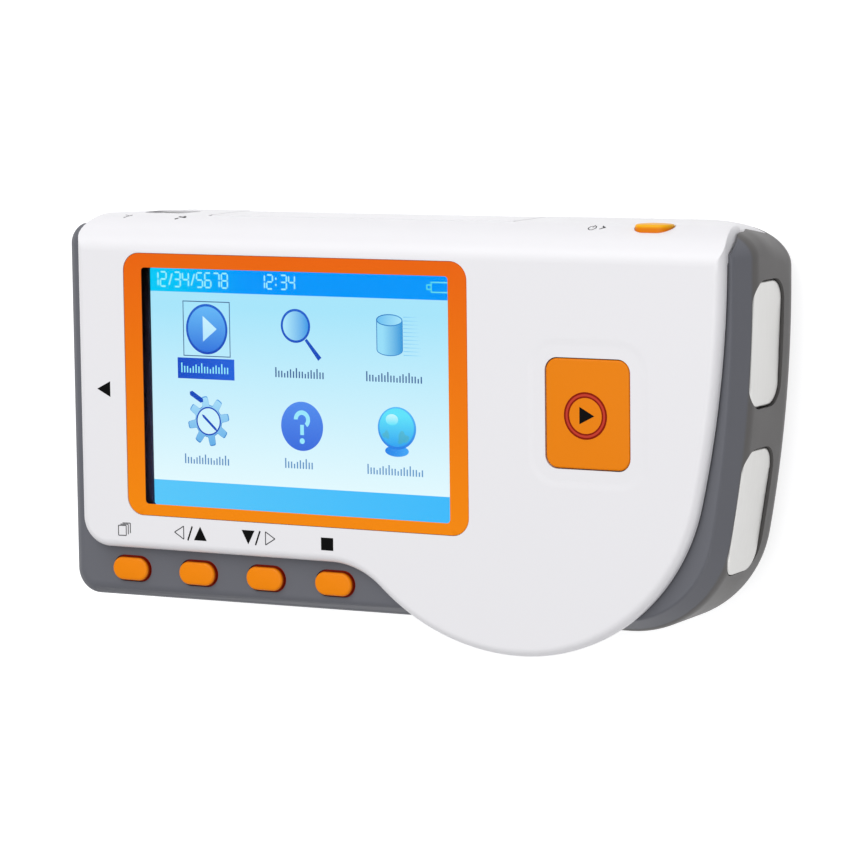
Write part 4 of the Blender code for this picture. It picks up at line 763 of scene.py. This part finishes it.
def digits(name, text, x, y, tall, finish):
    """Plain numbers from bars, as on a seven-bar clock: bar k is shown where its digit has it."""
    shown = {"0": "abcdef", "1": "bc", "2": "abged", "3": "abgcd", "4": "fgbc", "5": "afgcd",
             "6": "afgedc", "7": "abc", "8": "abcdefg", "9": "abcdfg"}
    wide, thick, half = tall * 0.48, tall * 0.12, tall / 2
    ends = {"a": (0, tall, wide, tall), "g": (0, half, wide, half), "d": (0, 0, wide, 0),
            "f": (0, half, 0, tall), "b": (wide, half, wide, tall), "e": (0, 0, 0, half),
            "c": (wide, 0, wide, half), "/": (0, 0, wide * 0.7, tall),
            ":": (0.2, tall * 0.2, 0.2, tall * 0.4), ";": (0.2, tall * 0.65, 0.2, tall * 0.85)}
    outlines = []
    for sign in text:
        for key in shown.get(sign, ":;" if sign == ":" else sign):
            x0, y0, x1, y1 = ends[key]
            outlines.append(bar((x + x0, y + y0), (x + x1, y + y1), thick))
        x += wide * (1.4 if sign in shown else 1.0)
    strokes(name, outlines, 3, finish)


digits("clock", "12:34", -24.9, 22.55, 2.3, bright)
digits("number", "12/34/5678", -45.7, 22.45, 2.4, bright)
strokes("charge_sign", [box_outline(*box) for box in (
    (7.5, 24.35, 12.4, 24.55), (7.5, 22.75, 12.4, 22.95), (7.3, 22.75, 7.5, 24.55),
    (6.7, 23.2, 7.3, 23.4), (6.7, 23.9, 7.3, 24.1), (6.5, 23.2, 6.7, 24.1))], 2,
        lit("charge_green", (0.10, 0.75, 0.78), (0.20, 0.80, 0.90), "X", (6.5, 12.0)))

sign_blue = lit("sign_blue", (0.03, 0.17, 0.72), (0.14, 0.50, 0.95), "Y", (11.5, 19.6))
sign_edge = lit("sign_edge", (0.010, 0.07, 0.50), (0.02, 0.13, 0.62), "Y", (11.5, 19.6))
film("run_disc", disc(-35.15, 15.5, 3.95, 1.04), 3, sign_blue)
hoop("run_edge", -35.15, 15.5, 4.05, 3.65, 4, sign_edge, 1.04)
film("run_arrow", [(-35.9, 13.4), (-33.2, 15.55), (-35.9, 17.7)], 4, lit(
    "run_pale", (0.45, 0.80, 1.0), (0.65, 0.92, 1.0), "Y", (13.0, 18.0)))
film("lens_glass", disc(-18.0, 16.6, 2.6, 1.0), 3, lit(
    "lens_glass", (0.05, 0.33, 0.80), (0.42, 0.80, 0.97), "X", (-15.6, -20.0)))
hoop("lens_edge", -18.0, 16.6, 2.8, 2.4, 4, sign_edge)
slant = np.array([0.64, -0.77])
across = np.array([0.77, 0.64])
grip = np.array([-16.1, 14.4])
film("lens_handle", [grip - across * 0.25, grip + slant * 4.1 - across * 0.4,
                     grip + slant * 4.1 + across * 0.4, grip + across * 0.25], 3, sign_edge)
store_edge = lit("store_edge", (0.01, 0.16, 0.50), (0.04, 0.28, 0.66), "X", (-2.8, 1.8))
store_blue = lit("store_blue", (0.03, 0.30, 0.70), (0.32, 0.74, 0.95), "X", (2.1, -1.6))
for name, grow, layer, finish in (("store_rim", 0.14, 3, store_edge),
                                  ("store_body", 0.0, 4, store_blue)):
    foot = sweep(0, 0, [1.0], 180, 360, 24)[0] * [2.3 + grow, 0.85 + grow] + [-0.35, 13.25]
    film(name, np.concatenate((foot, [(1.95 + grow, 18.1), (-2.65 - grow, 18.1)])), layer, finish)
film("store_lid_rim", disc(-0.35, 18.1, 2.44, 0.40), 5, store_edge)
film("store_lid", disc(-0.35, 18.1, 2.26, 0.36), 6, lit(
    "store_lid", (0.14, 0.52, 0.88), (0.40, 0.80, 0.97), "X", (-2.8, 2.0)))
strokes("store_lines", [box_outline(2.2, 12.4 + i * 0.62, 5.4 - 0.3 * (i % 2), 12.54 + i * 0.62)
                        for i in range(11)], 2, lit(
    "faint_blue", (0.24, 0.62, 0.93), (0.42, 0.80, 0.98), "X", (2.1, 5.2)))
gear_turn = np.linspace(0, 2 * np.pi, 128, endpoint=False)
teeth = np.clip(np.sin(8 * gear_turn) * 2.2, -1.0, 1.0)
gear_line = np.stack((np.cos(gear_turn), np.sin(gear_turn) * 1.04), axis=-1)
gear_place = np.array([-35.1, 0.1])
film("gear_rim", gear_line * (3.32 + 0.72 * teeth)[:, None] + gear_place, 3, lit(
    "gear_rim", (0.05, 0.24, 0.60), (0.10, 0.36, 0.78), "Y", (-4.2, 4.2)))
film("gear", gear_line * (3.16 + 0.70 * teeth)[:, None] + gear_place, 4, lit(
    "gear_blue", (0.12, 0.42, 0.80), (0.40, 0.74, 0.96), "Y", (-4.2, 4.2)))
hoop("gear_ring", *gear_place, 2.4, 2.15, 5, sign_edge)
film("gear_middle", disc(*gear_place, 2.15), 5, pale)
strokes("gear_pin", [bar((-36.6, 1.4), (-33.2, -1.7), 0.42)], 6, sign_edge)
strokes("gear_tail", [bar((-38.9, 5.0), (-35.9, 3.2), 0.85)], 5, sign_edge)
film("help_disc", disc(-17.05, 0.05, 4.0, 1.02), 3, lit(
    "help_blue", (0.045, 0.15, 0.72), (0.09, 0.27, 0.86), "Y", (-4.0, 4.0)))
hook = sweep(-17.05, 1.15, [1.55], -50, 180, 28)[0]
hook_in = sweep(-17.05, 1.15, [0.80], 180, -50, 28)[0]
film("help_hook", np.concatenate((hook, hook_in)), 4, bright)
film("help_stem", box_outline(-17.4, -1.4, -16.7, 0.3), 4, bright)
film("help_dot", disc(-17.05, -2.4, 0.48), 4, bright)
film("globe_foot", disc(0.75, -3.2, 2.2, 0.42), 3, lit(
    "globe_foot", (0.02, 0.22, 0.80), (0.06, 0.40, 0.95), "X", (-1.5, 3.0)))
film("globe_rim", disc(0.8, 0.55, 3.55, 0.98), 4, lit(
    "globe_rim", (0.02, 0.20, 0.78), (0.10, 0.52, 0.96), "Y", (-3.2, 4.0)))
film("globe_sea", disc(0.75, 0.65, 3.2, 0.98), 5, lit(
    "globe_sea", (0.03, 0.36, 0.88), (0.12, 0.78, 0.97), "Y", (-2.6, 2.6)))
land = lit("land_green", (0.05, 0.40, 0.62), (0.12, 0.56, 0.72), "Y", (-2.4, 1.6))
bumps = np.linspace(0, 2 * np.pi, 40, endpoint=False)
for name, x, y, size, phase in (("land_east", 1.9, -1.0, 0.95, 2.1),
                                ("land_west", -1.2, -0.6, 0.6, 4.0)):
    reach = size * (1 + 0.22 * np.sin(3 * bumps + phase) + 0.10 * np.sin(5 * bumps))
    film(name, np.stack((x + reach * np.cos(bumps), y + reach * np.sin(bumps)), axis=-1), 6, land)
film("globe_glint", disc(-0.1, 1.9, 1.15, 0.8), 6, lit(
    "globe_glint", (0.12, 0.78, 0.97), (0.55, 0.95, 1.0), "Y", (1.0, 2.6)))


# Black border: the printed edge of the panel and the foam gasket over it, seen as a dark strip
# inside the ring.
# The gasket is black; painted light lifts it to a faint navy towards the bottom of the strip, and it
# is deepest at the top.
mask_black = shade_along(plastic("mask_black", (0.004, 0.004, 0.006), 0.7, gleam=0.1),
                         "Y", 26.0, -14.0, (0.001, 0.001, 0.002), (0.030, 0.030, 0.075))
gasket = ring_band("foam_gasket", (-17.3, 5.8, 61.5, 43.0, 1.2), (-17.0, 5.6, 57.9, 40.1, 0.5),
                   [(0.0, 22.4), (0.0, 22.9), (1.0, 22.9), (1.0, 22.4)])
smooth(gasket, mask_black, 35.0)
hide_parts("display_gasket")
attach(gasket, "root")
panel_glass = plastic("panel_glass", (0.002, 0.002, 0.004), 0.5, 0.1, 0.02, 0.3, gleam=0.1)
node["lcd_glass"].data.materials.clear()
node["lcd_glass"].data.materials.append(panel_glass)


# Keys: four pill keys in the grey band, the start key in its dish and the power key in the top
# wall. Each is one moulding of orange plastic, with painted shade darkening its sides where light
# doesn't reach.
def key_plastic_painted_shade(name, face, side, axis, level, blur):
    """Orange key plastic with painted shade: its colour turns to a deep red below the edge of its
    face.
    """
    made = plastic(name, face, 0.38, 0.02, 0.03, 0.2, gleam=0.15)
    tree = made.node_tree
    tint = next(n for n in tree.nodes if n.type == "MIX")
    fade = run_along(tree, axis, level - blur, level + blur)
    mix = colour_mix(tree, side, face)
    link = tree.links.new
    link(fade.outputs["Result"], mix.inputs["Factor"])
    link(tint.outputs["Result"], mix.inputs["B"])
    link(mix.outputs["Result"], tree.nodes["Principled BSDF"].inputs["Base Color"])
    return made


def key_rings(x, y, size, foot, shoulder, top, edge, crown, flange):
    """Rings of a key: a flange at the foot, an upright side, a round edge and a face that
    rises by the crown towards its middle. The face shrinks towards the centre point."""
    turn = np.linspace(0, np.pi / 2, 8)
    inset = np.concatenate(([-flange, -flange, 0.0, 0.0], edge * (1 - np.cos(turn))[1:]))
    level = np.concatenate(([foot, shoulder, shoulder, top - edge - crown],
                            top - crown - edge * (1 - np.sin(turn))[1:]))
    body = rounded(x, y, *widened(size, -2 * inset), 14)
    share = np.cos(np.linspace(0.0, np.pi / 2, 14))[1:-1]
    centre = np.array([x, y])
    face = centre + share[:, None, None] * (body[-1] - centre)
    tip = centre + 0.02 * (body[-1:] - centre)
    rise = top - crown * share ** 2
    return at_heights(np.concatenate((body, face, tip)), np.concatenate((level, rise, [top])))


pill_orange = key_plastic_painted_shade("pill_orange", (0.86, 0.235, 0.0), (0.30, 0.012, 0.0), "Z", 23.15, 0.28)
for name, x in zip(("menu", "left_up", "right_down", "stop"), keys):
    rings = key_rings(x, key_y, key_size, foot=19.8, shoulder=22.25, top=23.68,
                      edge=0.5, crown=0.12, flange=0.25)
    pill = smooth(skin(name + "_key", rings), pill_orange, 35.0)
    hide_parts(name + "_button")
    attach(pill, name + "_key")
start_orange = key_plastic_painted_shade("start_orange", (0.80, 0.215, 0.0), (0.45, 0.05, 0.0), "Z", 24.45, 0.2)
key_face = FACE - 0.03
rings = key_rings(*start_place, start_size, foot=22.2, shoulder=22.9, top=key_face,
                  edge=0.3, crown=0.06, flange=0.9)
start_key = skin("start_key", rings)
carve(start_key, [pillar("stem", start_place, 2.0, 19.8, 22.6)], "UNION")
smooth(start_key, start_orange, 35.0)
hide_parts("play_button")
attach(start_key, "play_key")
power_orange = key_plastic_painted_shade("power_orange", (0.86, 0.42, 0.006), (0.75, 0.19, 0.0), "Y", 33.9, 0.25)
rings = key_rings(*power_place, (6.4, 4.2, 2.0), foot=30.5, shoulder=31.2, top=34.5,
                  edge=0.45, crown=0.15, flange=0.6)
rings = np.stack((-rings[..., 0], rings[..., 2], rings[..., 1]), axis=-1)
power_key = skin("power_key", rings)
stem = sweep(*power_place, [2.0], 0, 348.75, 32)
carve(power_key, [skin("power_stem", along_y(stem, [29.3, 30.9]))], "UNION")
smooth(power_key, power_orange, 35.0)
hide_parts("power_button")
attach(power_key, "power_key")


# Printed signs: black silk-screen ink on the cover and on the start key, a few hundredths of a
# millimetre thick.
ink, grey_ink, ring_red, band_red = (
    plastic(name, colour, rough, mottle=0.1, grain=0.05, grain_size=0.15, gleam=0.1)
    for name, colour, rough in (
        ("black_ink", (0.002, 0.002, 0.002), 0.8), ("grey_ink", (0.045, 0.045, 0.05), 0.8),
        ("ring_red", (0.24, 0.008, 0.0), 0.7), ("band_red", (0.52, 0.045, 0.025), 0.7)))


def printed(name, outline, finish=ink, body="root", face=FACE):
    """Flat print: an outline as a closed film that stands 0.02 mm proud of its face."""
    made = skin(name, at_heights(np.asarray(outline, float)[None], [face - 0.05, face + 0.02]))
    made.data.materials.append(finish)
    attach(made, body)
    return made


def line_between(a, b, wide):
    """Straight stroke between two points as an outline."""
    a, b = np.array(a, float), np.array(b, float)
    side = np.array([a[1] - b[1], b[0] - a[0]])
    side *= wide / 2 / np.hypot(*side)
    return [a + side, a - side, b - side, b + side]


printed("sign_back", [(-55.4, 5.0), (-52.8, 3.7), (-52.8, 6.35)])
printed("sign_up", [(-36.75, -19.7), (-34.25, -19.7), (-35.5, -17.35)])
printed("sign_down", [(-26.15, -19.75), (-24.9, -17.4), (-27.4, -17.4)])
printed("sign_stop", box_outline(-12.2, -19.85, -9.9, -17.75))
for name, x in (("left", -37.95), ("right", -24.75)):
    printed("sign_slash_" + name, line_between((x, -19.8), (x + 0.9, -17.4), 0.28))
for name, tip, base in (("left", -40.55, -38.75), ("right", -21.0, -22.8)):
    points = [(tip, -18.55), (base, -19.65), (base, -17.45)]
    for i in range(3):
        printed(f"sign_{name}_{i}", line_between(points[i], points[(i + 1) % 3], 0.16), grey_ink)
for i in range(3):
    x, y = -51.75 + i * 0.42, -19.75 + i * 0.22
    frame_points = [(x, y), (x + 1.55, y + 0.05), (x + 1.55, y + 1.75), (x, y + 1.7)]
    for k in range(4) if i == 0 else (2, 1):
        stroke = line_between(frame_points[k], frame_points[(k + 1) % 4], 0.15)
        printed(f"sign_page_{i}_{k}", stroke, grey_ink)
for name, outer, inner, finish in (("start_ring_out", 3.75, 3.45, ring_red),
                                   ("start_ring_mid", 3.45, 3.10, band_red),
                                   ("start_ring_in", 3.10, 2.85, ring_red)):
    ring = hoop(name, 36.1, 4.4, outer, inner, 0, finish, 1.0, key_face - 0.10, 0.125)
    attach(ring, "play_key")
printed("start_arrow", [(35.05, 3.05), (37.65, 4.4), (35.05, 5.8)], ink, "play_key", key_face)


def on_round(name, outline, x, angle, finish=ink):
    """Print on the round along the top edge: an outline's first value goes along X, and its
    second up the ellipse, from the given angle, by its length over a middle radius."""
    along, up = np.asarray(outline, float).T
    middle_radius = 8.5
    turn = np.radians(angle) - up / middle_radius
    rings = [np.stack((x + along, ROUND_Y + (ROUND + lift) * np.cos(turn),
                       ROUND_Z + (FACE - ROUND_Z + lift) * np.sin(turn)), axis=-1)
             for lift in (-0.05, 0.02)]
    made = skin(name, rings)
    made.data.materials.append(finish)
    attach(made, "root")
    return made


for i in range(10):
    start, end = np.radians((110 + 32 * i, 142 + 32 * i))
    ends = [(0.62 * np.cos(turn), 0.85 * np.sin(turn)) for turn in (start, end)]
    on_round(f"power_sign_{i}", line_between(*ends, 0.16), 35.1, 26.0, grey_ink)
on_round("power_sign_stroke", line_between((0.0, 0.2), (0.0, 1.2), 0.16), 35.1, 26.0, grey_ink)
on_round("power_sign_dot", [(-0.4, -0.9), (0.5, -0.1), (-0.4, 0.8)], 36.9, 24.0, grey_ink)
on_round("lead_sign_stem", line_between((-0.8, -0.9), (0.5, 0.7), 0.42), -41.6, 21.0)
on_round("lead_sign_cross", line_between((-0.7, 0.35), (0.9, -0.1), 0.34), -41.6, 21.0)
on_round("heart_sign_stem", line_between((-0.4, -0.7), (0.5, 0.7), 0.26), -52.3, 21.0, grey_ink)
on_round("heart_sign_arm", line_between((-0.9, 0.7), (0.0, 0.35), 0.12), -52.3, 21.0, grey_ink)


# Lead socket: a black moulded socket in the top wall, with four gold pins, for the plug of a
# chest lead.
socket_black = plastic("socket_black", (0.012, 0.012, 0.013), 0.38, 0.1, 0.06, 0.2)
socket = skin("socket_body", along_y(rounded(*socket_place, 8.0, 6.0, 1.3, 10), [23.7, 33.7, 33.86]))
mouth_shape = rounded(*socket_place, *widened((6.4, 4.4, 0.8), np.array([0.0, 0.0, 0.5])), 10)
carve(socket, [skin("socket_mouth", along_y(mouth_shape, [25.3, 33.5, 34.6]))])
smooth(socket, socket_black)
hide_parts("lead_socket")
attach(socket, "root")


# Battery door: a white plate that slides out over the top edge. Its lip turns up along the top
# wall, tongues on its sides run in the housing, and four grooves give the thumb a grip.
door_profile = np.concatenate((
    [(6.15, 1.6), (6.15, 0.55), (6.4, 0.3)],
    sweep(ROUND_Y, BACK_ROUND, BACK_ROUND - 0.3, 270, 270, 1)[0],
    sweep(ROUND_Y, BACK_ROUND, BACK_ROUND, 272, 360, 24)[0],
    [(TOP, 16.9), (TOP - 0.3, 17.2), (TOP - WALL, 17.2), (TOP - WALL, BACK_ROUND)],
    sweep(ROUND_Y, BACK_ROUND, BACK_ROUND - WALL, 358, 272, 22)[0],
    [(28.0, 1.6)],
))
door = skin("white_door", along_x(door_profile, door_left + 0.3, door_right - 0.3))
tongues = brick("tongues", (door_left - 0.7, 6.45, 1.02), (door_right + 0.7, 30.0, 1.57))
carve(door, [tongues], "UNION")
grips = []
level = np.linspace(0.0, 1.0, 6)
for i in range(4):
    grip_place = ((door_left + door_right) / 2, 18.85 + 2.4 * (i - 1.5))
    rings = at_heights(rounded(*grip_place, *widened((15.9, 1.1, 0.54), 0.35 * level ** 2), 8),
                       0.7 - 0.4 * level)
    rings = np.concatenate((rings, rings[-1:] - [0, 0, 2.0]))[::-1]
    grips.append(skin(f"grip_{i}", rings))
carve(door, grips)
smooth(door, white_abs)
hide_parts("battery_door")
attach(door, "door")


# Screws: six small cross-head screws of bright steel, sunk in the back, that pass through the
# bosses of the housing into the cover.
steel = satin_metal("bright_steel", (0.62, 0.61, 0.60), 0.30, 0.05)
for i, (x, y) in enumerate(bosses):
    radius = np.array([0.05, 1.2, 1.6, 1.82, 1.9, 1.9, 1.8, 0.9, 0.9, 0.3])
    level = np.array([1.2, 1.2, 1.23, 1.33, 1.5, 2.25, 2.4, 2.4, 19.7, 20.6])
    screw = skin(f"screw_{i + 1}", at_heights(sweep(x, y, radius, 0, 350, 36), level))
    cross = [brick("cross", (x - a, y - b, -1), (x + a, y + b, 1.85))
             for a, b in ((1.0, 0.22), (0.22, 1.0))]
    carve(screw, cross)
    smooth(screw, steel, 35.0)
    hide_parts(f"rear_screw_{i + 1}")
    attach(screw, "root")


# Inside: the board with its parts, the cells with their contacts and the plungers of the keys.
# These are the CAD model's own pieces, with the finish of each.
board_green = plastic("board_green", (0.012, 0.13, 0.045), 0.35, 0.25, 0.05, 0.6)
chip_black = plastic("chip_black", (0.018, 0.018, 0.02), 0.5, 0.15, 0.15, 0.2)
film_amber = plastic("film_amber", (0.42, 0.15, 0.015), 0.3, 0.1, 0.03, 0.3)
panel_white = plastic("panel_white", (0.80, 0.80, 0.82), 0.5, 0.02, 0.05, 0.3)
cell_sleeve = plastic("cell_sleeve", (0.03, 0.08, 0.26), 0.28, 0.08, 0.02, 0.3, coat=0.3)
gold = satin_metal("gold_plate", (0.83, 0.62, 0.24), 0.25, 0.03)
inside = {
    "main_board": board_green, "lcd_flex": film_amber, "backlight": panel_white,
    "battery_1": cell_sleeve, "battery_2": cell_sleeve, "lead_socket_pins": gold,
    "processor": chip_black, "amplifier_chip": chip_black, "buzzer": chip_black,
}
for name in node:
    if name.endswith("_switch"):
        inside[name] = chip_black
    elif name.endswith("_plunger") or name.startswith(("clip_", "battery_contact", "battery_link",
                                                       "battery_spring", "lcd_tray")):
        inside[name] = steel
for name, finish in inside.items():
    slots = node[name].data.materials
    slots.clear()
    slots.append(finish)
